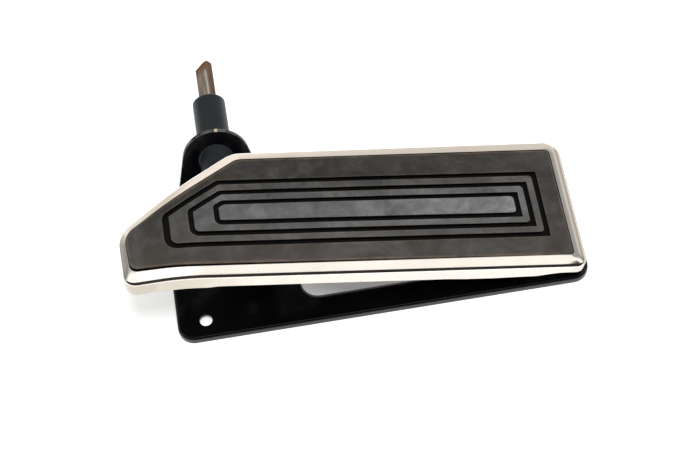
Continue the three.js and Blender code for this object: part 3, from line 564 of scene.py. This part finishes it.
def steel_material(name, shades, rough, stain):
    """Drawn metal with fine lines and a few stains."""
    n = Nodes(name)
    clouds = n.noise(70, 5, 0.65)
    lines = n.noise(700, 2, 0.5, n.stretched((1.0, 0.06, 1.0)))
    colour = n.ramp(clouds, (0.3, shades[0]), (0.7, shades[1]))
    spots = n.ramp(n.noise(180, 6, 0.7, distortion=0.6), (0.60, 0.0), (0.72, 0.3))
    colour = n.mix(spots, colour, stain)
    roughness = n.scaled(lines, rough - 0.07, rough + 0.10)
    roughness = n.math("ADD", roughness, n.math("MULTIPLY", spots, 0.5))
    return n.finish(colour, roughness, n.bump(lines, 0.07, 0.00012), metallic=0.9)


def shaft_material():
    """Bare steel, grey and scuffed on the toe side, rusty on the heel side and round the tip, with
    a painted highlight along the top ridge before the tip.
    """
    n = Nodes("worn_steel")
    ridge = base_point(AXIS[0] + RIDGE[0], RIDGE[2], AXIS[1] + RIDGE[1])
    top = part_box("drive_shaft")[1]
    side = n.window(n.along("X"), ridge.x + 0.0006, ridge.x + 0.0022)
    tip = n.window(n.along("Y"), ridge.y - 0.004, ridge.y + 0.006)
    mottle = n.noise(260, 7, 0.72, distortion=1.2)
    long_marks = n.noise(420, 4, 0.6, n.stretched((1.0, 0.12, 1.0)))
    steel = n.ramp(long_marks, *SHAFT_COLOURS["steel"])
    rust = n.ramp(mottle, *SHAFT_COLOURS["rust"])
    share = n.math("MAXIMUM", n.math("MULTIPLY", side, 0.85), n.math("MULTIPLY", tip, 0.8))
    share = n.math("MULTIPLY", share, n.ramp(mottle, (0.2, 0.7), (0.5, 1.0)))
    colour = n.mix(share, steel, rust)
    orange = n.math("MULTIPLY", tip, n.ramp(mottle, (0.35, 0.1), (0.58, 0.8)))
    colour = n.mix(orange, colour, SHAFT_COLOURS["tip"])
    # A painted highlight: a lighter colour along the top ridge before the tip
    off_ridge = n.math("ABSOLUTE", n.math("SUBTRACT", n.along("X"), ridge.x))
    before_tip = n.window(n.along("Y"), ridge.y, ridge.y - 0.002)
    light_marks = n.math("MULTIPLY", n.window(off_ridge, 0.0008, 0.0003), before_tip)
    light_marks = n.math("MULTIPLY", light_marks, n.window(n.along("Z"), top.z - 0.004, top.z - 0.001))
    colour = n.mix(n.math("MULTIPLY", light_marks, 0.8), colour, SHAFT_COLOURS["ridge"])
    roughness = n.scaled(mottle, 0.5, 0.75)
    normal = n.bump(mottle, 0.3, 0.0003, n.bump(long_marks, 0.12, 0.0001))
    return n.finish(colour, roughness, normal, metallic=0.1, specular=0.2)


def soft_black_material():
    """Dull black rubber of the stops and the seal."""
    n = Nodes("black_rubber")
    clouds = n.noise(90, 4)
    colour = n.ramp(clouds, (0.3, SOFT_BLACK[0]), (0.7, SOFT_BLACK[1]))
    normal = n.bump(n.noise(700, 3), 0.2, 0.0002)
    return n.finish(colour, n.scaled(clouds, 0.65, 0.85), normal, specular=0.3)


finishes = {
    "black_paint": paint_material("black_paint", BLACK_PAINT, 0.15, 0.45),
    "tube_paint": paint_material("tube_paint", TUBE_PAINT, 0.40, 0.2),
    "lug_paint": paint_material("lug_paint", BLACK_PAINT, 0.15, 0.45, light_marks=True),
    "polished_tray": polished_material(),
    "tread_rubber": rubber_material(),
    "worn_steel": shaft_material(),
    "zinc_steel": steel_material("zinc_steel", ZINC, 0.36, stain=(0.11, 0.075, 0.045)),
    "bronze": steel_material("bronze", BRONZE, 0.38, stain=(0.09, 0.05, 0.02)),
    "black_rubber": soft_black_material(),
}
slot_of = {row["node"]: row["material_slot"] for row in frame["record"]["subparts"]}
bodies = frame["record"]["behaviour"]["bodies"]
body_of = {node: body for body, members in bodies.items() for node in members}


# ---- Footboard -----------------------------------------------------------------------------------

def skirt_edge(p):
    """Height of the skirt's lower edge at a point of an outline."""
    height = SKIRT_EDGE[-1][1]
    for (u0, h0), (u1, h1) in zip(SKIRT_EDGE, SKIRT_EDGE[1:]):
        if u0 <= p.x <= u1:
            height = h0 + (h1 - h0) * (p.x - u0) / (u1 - u0)
    if SKIRT_RELIEF["toe"] < p.x < SKIRT_RELIEF["heel"] and p.y > SKIRT_RELIEF["near"]:
        height = SKIRT_RELIEF["height"]
    return height


def split_edges(loop, length):
    """Into how many pieces each side of a loop is cut, so that none is much over length."""
    shares = []
    for i, p in enumerate(loop):
        gap = (loop[(i + 1) % len(loop)] - p).length
        shares.append(max(1, round(gap / length)))
    return shares


def respaced(loop, shares):
    """A loop with each side cut into its share of pieces."""
    points = []
    for i, p in enumerate(loop):
        following = loop[(i + 1) % len(loop)]
        points += [p.lerp(following, k / shares[i]) for k in range(shares[i])]
    return points


def make_tray():
    """The polished tray: skirt, wall, rolled crest, bevel and pocket, with holes for the studs."""
    bm = bmesh.new()
    wall = bm.verts.layers.float.new("wall")
    under = bm.verts.layers.float.new("under")
    shares = split_edges(inset_loop(TRAY, 0, CORNER_STEPS), TRAY_PIECE)

    def ring(distance, height):
        return add_ring(bm, respaced(inset_loop(TRAY, distance, CORNER_STEPS), shares), height)

    def bevel_ring(share, height, beyond=0.0, heel_crown=0.0):
        start = inset_loop(TRAY, ROLL * (1 - math.cos(ROLL_END)), CORNER_STEPS)
        edge = inset_loop(POCKET, -0.4 + beyond, CORNER_STEPS)
        return add_ring(bm, respaced(mixed(start, edge, share), shares),
                        lambda p: height + heel_crown * max(0, min(1, (p.x - 1) / 5)))

    rings = [ring(WALL + 0.1, lambda p: skirt_edge(p) + 0.5)]
    rings.append(ring(WALL - 0.3, lambda p: skirt_edge(p) + 0.1))
    rings.append(ring(0.3, skirt_edge))
    rings.append(ring(-0.1, lambda p: skirt_edge(p) + 0.45))
    rings.append(ring(-0.05, lambda p: max(skirt_edge(p) + 0.9, 4)))
    centre_h = CREST - ROLL * math.sin(ROLL_END)
    for k in range(ROLL_STEPS + 1):
        angle = ROLL_END * k / ROLL_STEPS
        rings.append(ring(ROLL * (1 - math.cos(angle)), centre_h + ROLL * math.sin(angle)))
    for share, rise, crown in BEVEL_RINGS:
        rings.append(bevel_ring(share, CREST + rise, heel_crown=crown))
    for height, beyond in POCKET_RINGS:
        rings.append(bevel_ring(1.0, height, beyond))
    for ring_verts, value in zip(rings, WALL_FINISH_AND_SHADE):
        for vert in ring_verts:
            vert[wall] = value
    for a, b in zip(rings, rings[1:]):
        bridge(bm, a, b)
    holes = [circle(u, MIDDLE, RIVET_HOLE_RADIUS, 20) for u in STUDS]
    top_holes = [add_ring(bm, hole, FLOOR_TOP) for hole in holes]
    fill_between(bm, [rings[-1], *top_holes])
    inner = [rings[0], ring(WALL + 0.1, lambda p: max(skirt_edge(p) + 0.7, 5.6))]
    inner.append(ring(WALL + 0.5, lambda p: max(FLOOR_BOTTOM - 0.5, skirt_edge(p) + 0.75)))
    inner.append(ring(WALL + 1.4, FLOOR_BOTTOM))
    for a, b in zip(inner, inner[1:]):
        bridge(bm, a, b)
    low_holes = [add_ring(bm, hole, FLOOR_BOTTOM) for hole in holes]
    fill_between(bm, [inner[-1], *low_holes])
    for a, b in zip(top_holes, low_holes):
        bridge(bm, a, b)
    for low_ring in (*inner, *low_holes):
        for vert in low_ring:
            vert[under] = 1.0
    cut_across(bm, bend_cuts())
    for vert in bm.verts:
        vert.co = board_point(*vert.co, TRAY_BEND)
    return to_object("tray", bm, SHARP)


def groove_corners(k):
    """The outer and inner outline of groove k, counted from the outside."""
    edges = {name: first + step * k for name, (first, step) in GROOVE_EDGES.items()}
    heel, toe, shoulder, far = (edges[name] for name in ("heel", "toe", "shoulder", "far"))
    outline = [
        (heel, edges["heel_near"], 0.6),
        (heel, edges["heel_far"], 0.6),
        (shoulder, far, 8),
        (toe, far - (shoulder - toe) * CHAMFER, 7 - 2 * k),
        (toe, edges["toe_near"], 9 - 2 * k),
    ]
    widths = list(GROOVE_WIDTHS)
    if k == 0:
        widths[3] = FIRST_GROOVE_TOE
    inner = inset_corners(outline, widths)
    for i in range(2):
        inner[i] = (*inner[i][:2], BAR_CORNER)
    return outline, inner


def make_tread():
    """The rubber with its grooves, and for each vertex its edge wear, its share of the grooves'
    painted shade and how bar-like it is.
    """
    bm = bmesh.new()
    edge = bm.verts.layers.float.new("edge")
    groove = bm.verts.layers.float.new("groove")
    bar = bm.verts.layers.float.new("bar")

    def ring(corners, distance, height, **values):
        verts = add_ring(bm, inset_loop(corners, distance, TREAD_CORNER_STEPS), height)
        for vert in verts:
            vert[edge] = values.get("edge", 0.0)
            vert[groove] = values.get("groove", 0.0)
            vert[bar] = values.get("bar", 0.0)
        return verts

    # groove marks the painted shade in the grooves and down the rubber's outer wall
    edge_rows = [
        ring(RUBBER, 0.4, TREAD_BOTTOM),
        ring(RUBBER, 0.05, TREAD_BOTTOM + 0.4, groove=0.9),
        ring(RUBBER, 0.05, TREAD_TOP - 1.2, groove=0.9),
        ring(RUBBER, 0.12, TREAD_TOP - 0.55, edge=1.0),
        ring(RUBBER, 0.35, TREAD_TOP - 0.15, edge=1.0),
        ring(RUBBER, 0.85, TREAD_TOP, edge=0.55),
        ring(RUBBER, 2.2, TREAD_TOP),
    ]
    floor = TREAD_TOP - GROOVE_DEPTH
    rows = []
    for k in range(GROOVE_COUNT):
        outline, inner = groove_corners(k)
        before, after = k * BAR_SHADE, (k + 1) * BAR_SHADE
        rows += [
            ring(outline, -1.1, TREAD_TOP, bar=before),
            ring(outline, -0.35, TREAD_TOP - 0.03, edge=0.35, bar=before),
            ring(outline, -0.08, TREAD_TOP - 0.22, edge=0.35, groove=0.1, bar=before),
            ring(outline, 0.02, TREAD_TOP - 0.5, groove=1.0),
            ring(outline, 0.12, floor + 0.3, groove=1.0),
            ring(outline, 0.45, floor, groove=1.0),
            ring(inner, -0.45, floor, groove=1.0),
            ring(inner, -0.12, floor + 0.3, groove=1.0),
            ring(inner, -0.02, TREAD_TOP - 0.5, groove=1.0),
            ring(inner, 0.08, TREAD_TOP - 0.22, edge=0.3, groove=0.1, bar=after),
            ring(inner, 0.35, TREAD_TOP - 0.03, edge=0.3, bar=after),
            ring(inner, 1.0, TREAD_TOP, bar=after),
        ]
    for part in (edge_rows, rows):
        for a, b in zip(part, part[1:]):
            bridge(bm, a, b)
    fill_between(bm, [edge_rows[-1], rows[0]])
    bm.faces.new(rows[-1])
    bm.faces.new(edge_rows[0])
    cut_across(bm, bend_cuts())
    cut_across(bm, TREAD_CUTS)
    for vert in bm.verts:
        u, v, h = vert.co
        wave = 0.10 * math.sin(u / 31) + 0.07 * math.sin(u / 13 + v / 17)
        lift = h + (wave if h > TREAD_TOP - 0.4 else 0.0) - TREAD_SETTLE
        vert.co = board_point(u, v, lift, TREAD_BEND)
    return to_object("tread", bm, SHARP)


place(make_tray(), "footboard", finishes["polished_tray"], ["tread_tray"])
place(make_tread(), "footboard", finishes["tread_rubber"], ["tread_rubber"])


# ---- Base plate ----------------------------------------------------------------------------------

def make_base():
    """The pressed base sheet with its flange, its window's rolled lip and its holes."""
    bm = bmesh.new()
    length, width, height, corner = (BASE[key] for key in ("length", "width", "height", "corner"))
    outline = [(x, y, corner) for x, y in ((0, 0), (length, 0), (length, width), (0, width))]
    left, right, near, far = (WINDOW[key] for key in ("left", "right", "near", "far"))
    window_corners = ((left, near), (right, near), (right, far), (left, far))
    opening = [(x, y, WINDOW["corner"]) for x, y in window_corners]

    def outer_ring(distance, z):
        return add_ring(bm, inset_loop(outline, distance, CORNER_STEPS), z)

    def window_ring(distance, z):
        return add_ring(bm, inset_loop(opening, -distance, CORNER_STEPS), z)

    sheet = BASE["sheet"]
    under = height - sheet
    sides = [outer_ring(sheet + 0.5, under), outer_ring(sheet, under - 0.5), outer_ring(sheet, 0.3),
             outer_ring(sheet - 0.3, 0), outer_ring(0.3, 0), outer_ring(0, 0.3)]
    for k in range(ROUND_STEPS + 1):
        angle = math.radians(90 * k / ROUND_STEPS)
        sides.append(outer_ring(BASE["round"] * (1 - math.cos(angle)),
                                height - BASE["round"] + BASE["round"] * math.sin(angle)))
    lip = [window_ring(LIP["width"] + 0.2, height)]
    for k in range(1, LIP["steps"] + 1):
        angle = math.radians(90 * k / LIP["steps"])
        lip.append(window_ring(LIP["width"] * (1 - math.sin(angle)),
                               height - LIP["drop"] * (1 - math.cos(angle))))
    lip += [window_ring(0, 0.3), window_ring(0.3, 0), window_ring(sheet - 0.3, 0),
            window_ring(sheet, 0.3), window_ring(sheet, under - 0.5),
            window_ring(sheet + 0.5, under)]
    for rings in (sides, lip):
        for a, b in zip(rings, rings[1:]):
            bridge(bm, a, b)
    tops, bottoms = [], []
    spots = [(x, y, BOLT_HOLE_RADIUS) for x, y in BOLT_HOLES]
    spots += [(x, y, RIVET_HOLE_RADIUS) for x, y in RIVETS]
    spots += [(x, y, STOP_HOLE_RADIUS) for x, y in STOPS]
    for x, y, hole in spots:
        rings = [add_ring(bm, circle(x, y, hole + 0.5), height),
                 add_ring(bm, circle(x, y, hole + 0.12), height - 0.15),
                 add_ring(bm, circle(x, y, hole), height - 0.5),
                 add_ring(bm, circle(x, y, hole), under)]
        for a, b in zip(rings, rings[1:]):
            bridge(bm, a, b)
        tops.append(rings[0])
        bottoms.append(rings[-1])
    fill_between(bm, [sides[-1], lip[0], *tops])
    fill_between(bm, [sides[0], lip[-1], *bottoms])
    for vert in bm.verts:
        vert.co = base_point(*vert.co)
    return to_object("base_sheet", bm, SHARP)


place(make_base(), "base", finishes["black_paint"], ["base_plate"])


# ---- Turned parts and welds ----------------------------------------------------------------------

def make_tube():
    """The shaft's tube, with a rounded far end."""
    radius, bore, fillet = (TUBE[key] for key in ("radius", "bore", "round"))
    near, far = TUBE["near"], TUBE["far"]
    profile = [(bore, near + 0.5), (bore + 0.5, near), (radius - 0.6, near), (radius, near + 0.6)]
    profile += [(radius, y) for y in TUBE_RINGS]
    for k in range(ROUND_STEPS + 1):
        angle = math.radians(90 * k / ROUND_STEPS)
        profile.append((radius - fillet * (1 - math.cos(angle)),
                        far - fillet + fillet * math.sin(angle)))
    profile += [(bore + 0.4, far), (bore, far - 0.4)]
    bm = bmesh.new()
    rings = []
    for reach, y in profile:
        points = circle(*AXIS, reach, TUBE["facets"])
        rings.append([bm.verts.new(base_point(p.x, y, p.y)) for p in points])
    for a, b in zip(rings, rings[1:] + rings[:1]):
        bridge(bm, a, b)
    return to_object("tube", bm, TUBE_SHARP)


place(make_tube(), "base", finishes["tube_paint"], ["shaft_tube"])


def make_weld(name, side):
    """A weld bead where the leaning lug meets the tube, on the lug's front (-1) or back (1)."""
    lean = math.tan(math.radians(LUG["lean"]))
    back = LUG["front"] + LUG["sheet"] / math.cos(math.radians(LUG["lean"]))
    start = LUG["front"] if side < 0 else back
    bm = bmesh.new()
    random.seed(7)
    count, rings = WELD["points"], []
    for k in range(count):
        angle = 2 * math.pi * k / count
        size = WELD["size"] + WELD["ripple"] * math.sin(angle * WELD["ripples"])
        size += random.uniform(-WELD["uneven"], WELD["uneven"])
        ring = []
        for radial, along in ((0.25, 0.0), (size, 0.15), (size * 0.62, size * 0.45),
                              (size * 0.3, size * 0.85), (0.05, size * 1.3), (0.05, 0.2)):
            radius = TUBE["radius"] + radial
            x = AXIS[0] + radius * math.cos(angle)
            z = AXIS[1] + radius * math.sin(angle)
            y = start + z * lean + side * along
            ring.append(bm.verts.new(base_point(x, y, z)))
        rings.append(ring)
    for k in range(count):
        bridge(bm, rings[k], rings[(k + 1) % count])
    return to_object(name, bm, WELD_SHARP)


place(make_weld("weld_front", -1), "base", finishes["tube_paint"])
place(make_weld("weld_back", 1), "base", finishes["tube_paint"])


# ---- The other parts: CAD shapes with their edges broken -----------------------------------------

MERGE = 2e-6
FLAT = math.radians(0.8)
EDGE = math.radians(28)


def refined(node, bevel):
    """A copy of a CAD node with clean faces and rounded edges."""
    bm = bmesh.new()
    bm.from_mesh(nodes[node].data)
    bmesh.ops.remove_doubles(bm, verts=bm.verts, dist=MERGE)
    bmesh.ops.dissolve_limit(bm, angle_limit=FLAT, verts=bm.verts, edges=bm.edges)
    mesh = bpy.data.meshes.new(node + "_fine")
    bm.to_mesh(mesh)
    bm.free()
    for polygon in mesh.polygons:
        polygon.use_smooth = True
    obj = bpy.data.objects.new(node + "_fine", mesh)
    bpy.context.scene.collection.objects.link(obj)
    modifier = obj.modifiers.new("edges", "BEVEL")
    modifier.width = bevel * MM
    modifier.segments = 2
    modifier.limit_method = "ANGLE"
    modifier.angle_limit = EDGE
    modifier.use_clamp_overlap = True
    return settled(obj)


SMALL_BEVEL = 0.2
BEVELS = {
    "shaft_lug": 0.6, "tube_cradle": 0.5, "hinge_bracket_near": 0.5, "hinge_bracket_far": 0.5,
    "lever": 0.5, "yoke": 0.4, "hinge_leaf": 0.4, "drive_shaft": 0.35,
    "stop_down": 0.5, "stop_up": 0.5,
}

replaced_above = {"tread_tray", "tread_rubber", "base_plate", "shaft_tube"}
kept_as_it_is = "return_spring"
for node in sorted(nodes):
    if node in replaced_above:
        continue
    slot = slot_of[node]
    if node == kept_as_it_is:
        for material_slot in nodes[node].material_slots:
            material_slot.material = finishes[slot]
        continue
    material = finishes["lug_paint"] if node == "shaft_lug" else finishes[slot]
    bevel = BEVELS.get(node, SMALL_BEVEL)
    place(refined(node, bevel), body_of[node], material, [node])


# ---- Floor, light and camera ---------------------------------------------------------------------

FLOOR_REACH = 3
FLOOR_GAP = 0.0002
FLOOR_COLOUR = (0.93, 0.93, 0.925, 1)
FLOOR_GLOW = (1, 1, 0.995, 1)
# The floor's own light is weaker under the base, in an ellipse twice as long as it is wide
GLOW_CENTRE = (173, 60)
GLOW = {"From Min": 0.08, "From Max": 0.118, "To Min": 0.2, "To Max": 0.54}

floor_mesh = bpy.data.meshes.new("floor")
ends = (-FLOOR_REACH, FLOOR_REACH)
floor_corners = [(x, y, 0) for x in ends for y in ends]
floor_mesh.from_pydata(floor_corners, [], [(0, 2, 3, 1)])
floor = bpy.data.objects.new("floor", floor_mesh)
bpy.context.scene.collection.objects.link(floor)
floor.location.z = cad_bounds[0][2] - FLOOR_GAP
pale = bpy.data.materials.new("floor")
pale.use_nodes = True
shader = pale.node_tree.nodes["Principled BSDF"]
shader.inputs["Base Color"].default_value = FLOOR_COLOUR
shader.inputs["Roughness"].default_value = 0.85
shader.inputs["Specular IOR Level"].default_value = 0.1
shader.inputs["Emission Color"].default_value = FLOOR_GLOW
floor_tree = pale.node_tree
squeezed = floor_tree.nodes.new("ShaderNodeVectorMath")
squeezed.operation = "MULTIPLY"
squeezed.inputs[1].default_value = (1, 2, 0)
place_on_floor = floor_tree.nodes.new("ShaderNodeTexCoord").outputs["Object"]
floor_tree.links.new(place_on_floor, squeezed.inputs[0])
middle = base_point(*GLOW_CENTRE, 0)
from_middle = floor_tree.nodes.new("ShaderNodeVectorMath")
from_middle.operation = "DISTANCE"
from_middle.inputs[1].default_value = (middle.x, 2 * middle.y, 0)
floor_tree.links.new(squeezed.outputs[0], from_middle.inputs[0])
glow = floor_tree.nodes.new("ShaderNodeMapRange")
for name, value in GLOW.items():
    glow.inputs[name].default_value = value
floor_tree.links.new(from_middle.outputs["Value"], glow.inputs["Value"])
floor_tree.links.new(glow.outputs["Result"], shader.inputs["Emission Strength"])
floor.data.materials.append(pale)

# Soft light from all round, in bands of light and dark for the polished metal to mirror.
# SKY is the level by the angle from straight up, in degrees, turning about X towards the far side.
# SIDES is a factor by the direction's x. DARK is the middle of a dark spot high at the far side.
RAMP_TOP = 1.4
SKY = ((-180, 0.9), (-120, 0.5), (-110, 0.03), (-16, 0.03), (-9, 1.12), (12, 1.12), (21, 0.38),
       (45, 0.38), (56, 0.72), (90, 0.74), (180, 0.9))
SIDES = ((-1, 0.6), (-0.76, 0.6), (-0.62, 0.85), (-0.5, 1.35), (-0.38, 1.12), (-0.22, 1),
         (-0.05, 1.3), (0.1, 1.38), (0.2, 1.34), (0.27, 1.05), (0.36, 0.97), (1, 0.97))
DARK = (0.03, 0.495, 0.868)
DARK_SPOT = {"edge": 12, "core": 7.5, "level": 0.12}
TINTS = ((-180, (1, 0.985, 0.96)), (12, (1, 0.985, 0.96)), (26, (0.93, 0.98, 1)),
         (42, (0.93, 0.98, 1)), (56, (1, 0.945, 0.885)), (180, (1, 0.945, 0.885)))

world = bpy.data.worlds.new("studio")
bpy.context.scene.world = world
world.use_nodes = True
tree = world.node_tree
background = tree.nodes["Background"]
direction = tree.nodes.new("ShaderNodeTexCoord").outputs["Generated"]
split = tree.nodes.new("ShaderNodeSeparateXYZ")
tree.links.new(direction, split.inputs["Vector"])


def sky_ramp(source, stops):
    node = tree.nodes.new("ShaderNodeValToRGB")
    tree.links.new(source, node.inputs["Fac"])
    elements = node.color_ramp.elements
    while len(elements) < len(stops):
        elements.new(0.5)
    for element, (position, level) in zip(elements, stops):
        element.position = position
        element.color = (*level, 1) if isinstance(level, tuple) else (level, level, level, 1)
    return node.outputs["Color"]


def sky_range(source, **ends):
    node = tree.nodes.new("ShaderNodeMapRange")
    tree.links.new(source, node.inputs["Value"])
    for name, value in ends.items():
        node.inputs[name.replace("_", " ").title()].default_value = value
    return node.outputs["Result"]


def sky_math(operation, *values):
    node = tree.nodes.new("ShaderNodeMath")
    node.operation = operation
    for socket, value in zip(node.inputs, values):
        if isinstance(value, bpy.types.NodeSocket):
            tree.links.new(value, socket)
        else:
            socket.default_value = value
    return node.outputs[0]


angle = sky_math("ARCTAN2", split.outputs["Y"], split.outputs["Z"])
turn = sky_range(angle, from_min=-math.pi, from_max=math.pi)
across = sky_ramp(turn, [((degrees + 180) / 360, level / RAMP_TOP) for degrees, level in SKY])
sideways = sky_ramp(sky_math("MULTIPLY_ADD", split.outputs["X"], 0.5, 0.5),
                    [((x + 1) / 2, factor / RAMP_TOP) for x, factor in SIDES])
spot = tree.nodes.new("ShaderNodeVectorMath")
spot.operation = "DOT_PRODUCT"
spot.inputs[1].default_value = DARK
tree.links.new(direction, spot.inputs[0])
edge, core = (math.cos(math.radians(DARK_SPOT[key])) for key in ("edge", "core"))
shade = sky_range(spot.outputs["Value"], from_min=edge, from_max=core, to_min=1.0,
                  to_max=DARK_SPOT["level"])
level = sky_math("MULTIPLY", sky_math("MULTIPLY", across, sideways), shade)
tree.links.new(sky_math("MULTIPLY", level, RAMP_TOP ** 2), background.inputs["Strength"])
tint = sky_ramp(turn, [((degrees + 180) / 360, colour) for degrees, colour in TINTS])
tree.links.new(tint, background.inputs["Color"])

# One lamp over the near side, for the soft shadow under the tray's toe
KEY_AT = (0.05, -0.6, 1.8)
KEY_SIZE = 0.5
KEY_POWER = 20
lamp = bpy.data.lights.new("key", "AREA")
lamp.size = KEY_SIZE
lamp.energy = KEY_POWER
key = bpy.data.objects.new("key", lamp)
bpy.context.scene.collection.objects.link(key)
key.location = KEY_AT
key.rotation_euler = (-Vector(KEY_AT)).to_track_quat("-Z", "Y").to_euler()
key.visible_glossy = False

# The camera's angles, focal length and place, in millimetres from the base's corner
ELEVATION = math.radians(58.0958)
TURN = math.radians(3.8831)
CAMERA_ROLL = math.radians(5.7635)
FOCAL_MM = 103.82
SENSOR_MM = 36.0
CAMERA_AT = (80.94, -724.30, 1290.82)
c, s = math.cos(TURN), math.sin(TURN)
ce, se = math.cos(ELEVATION), math.sin(ELEVATION)
to_camera = Matrix.Rotation(CAMERA_ROLL, 3, "Z") @ Matrix((
    (c, -s, 0.0),
    (s * se, c * se, ce),
    (-s * ce, -c * ce, se),
))
camera = bpy.data.objects.new("camera", bpy.data.cameras.new("camera"))
bpy.context.scene.collection.objects.link(camera)
camera.data.lens = FOCAL_MM
camera.data.sensor_width = SENSOR_MM
camera.matrix_world = Matrix.Translation(base_point(*CAMERA_AT)) @ to_camera.transposed().to_4x4()
bpy.context.scene.camera = camera
bpy.context.scene.view_settings.view_transform = "Standard"
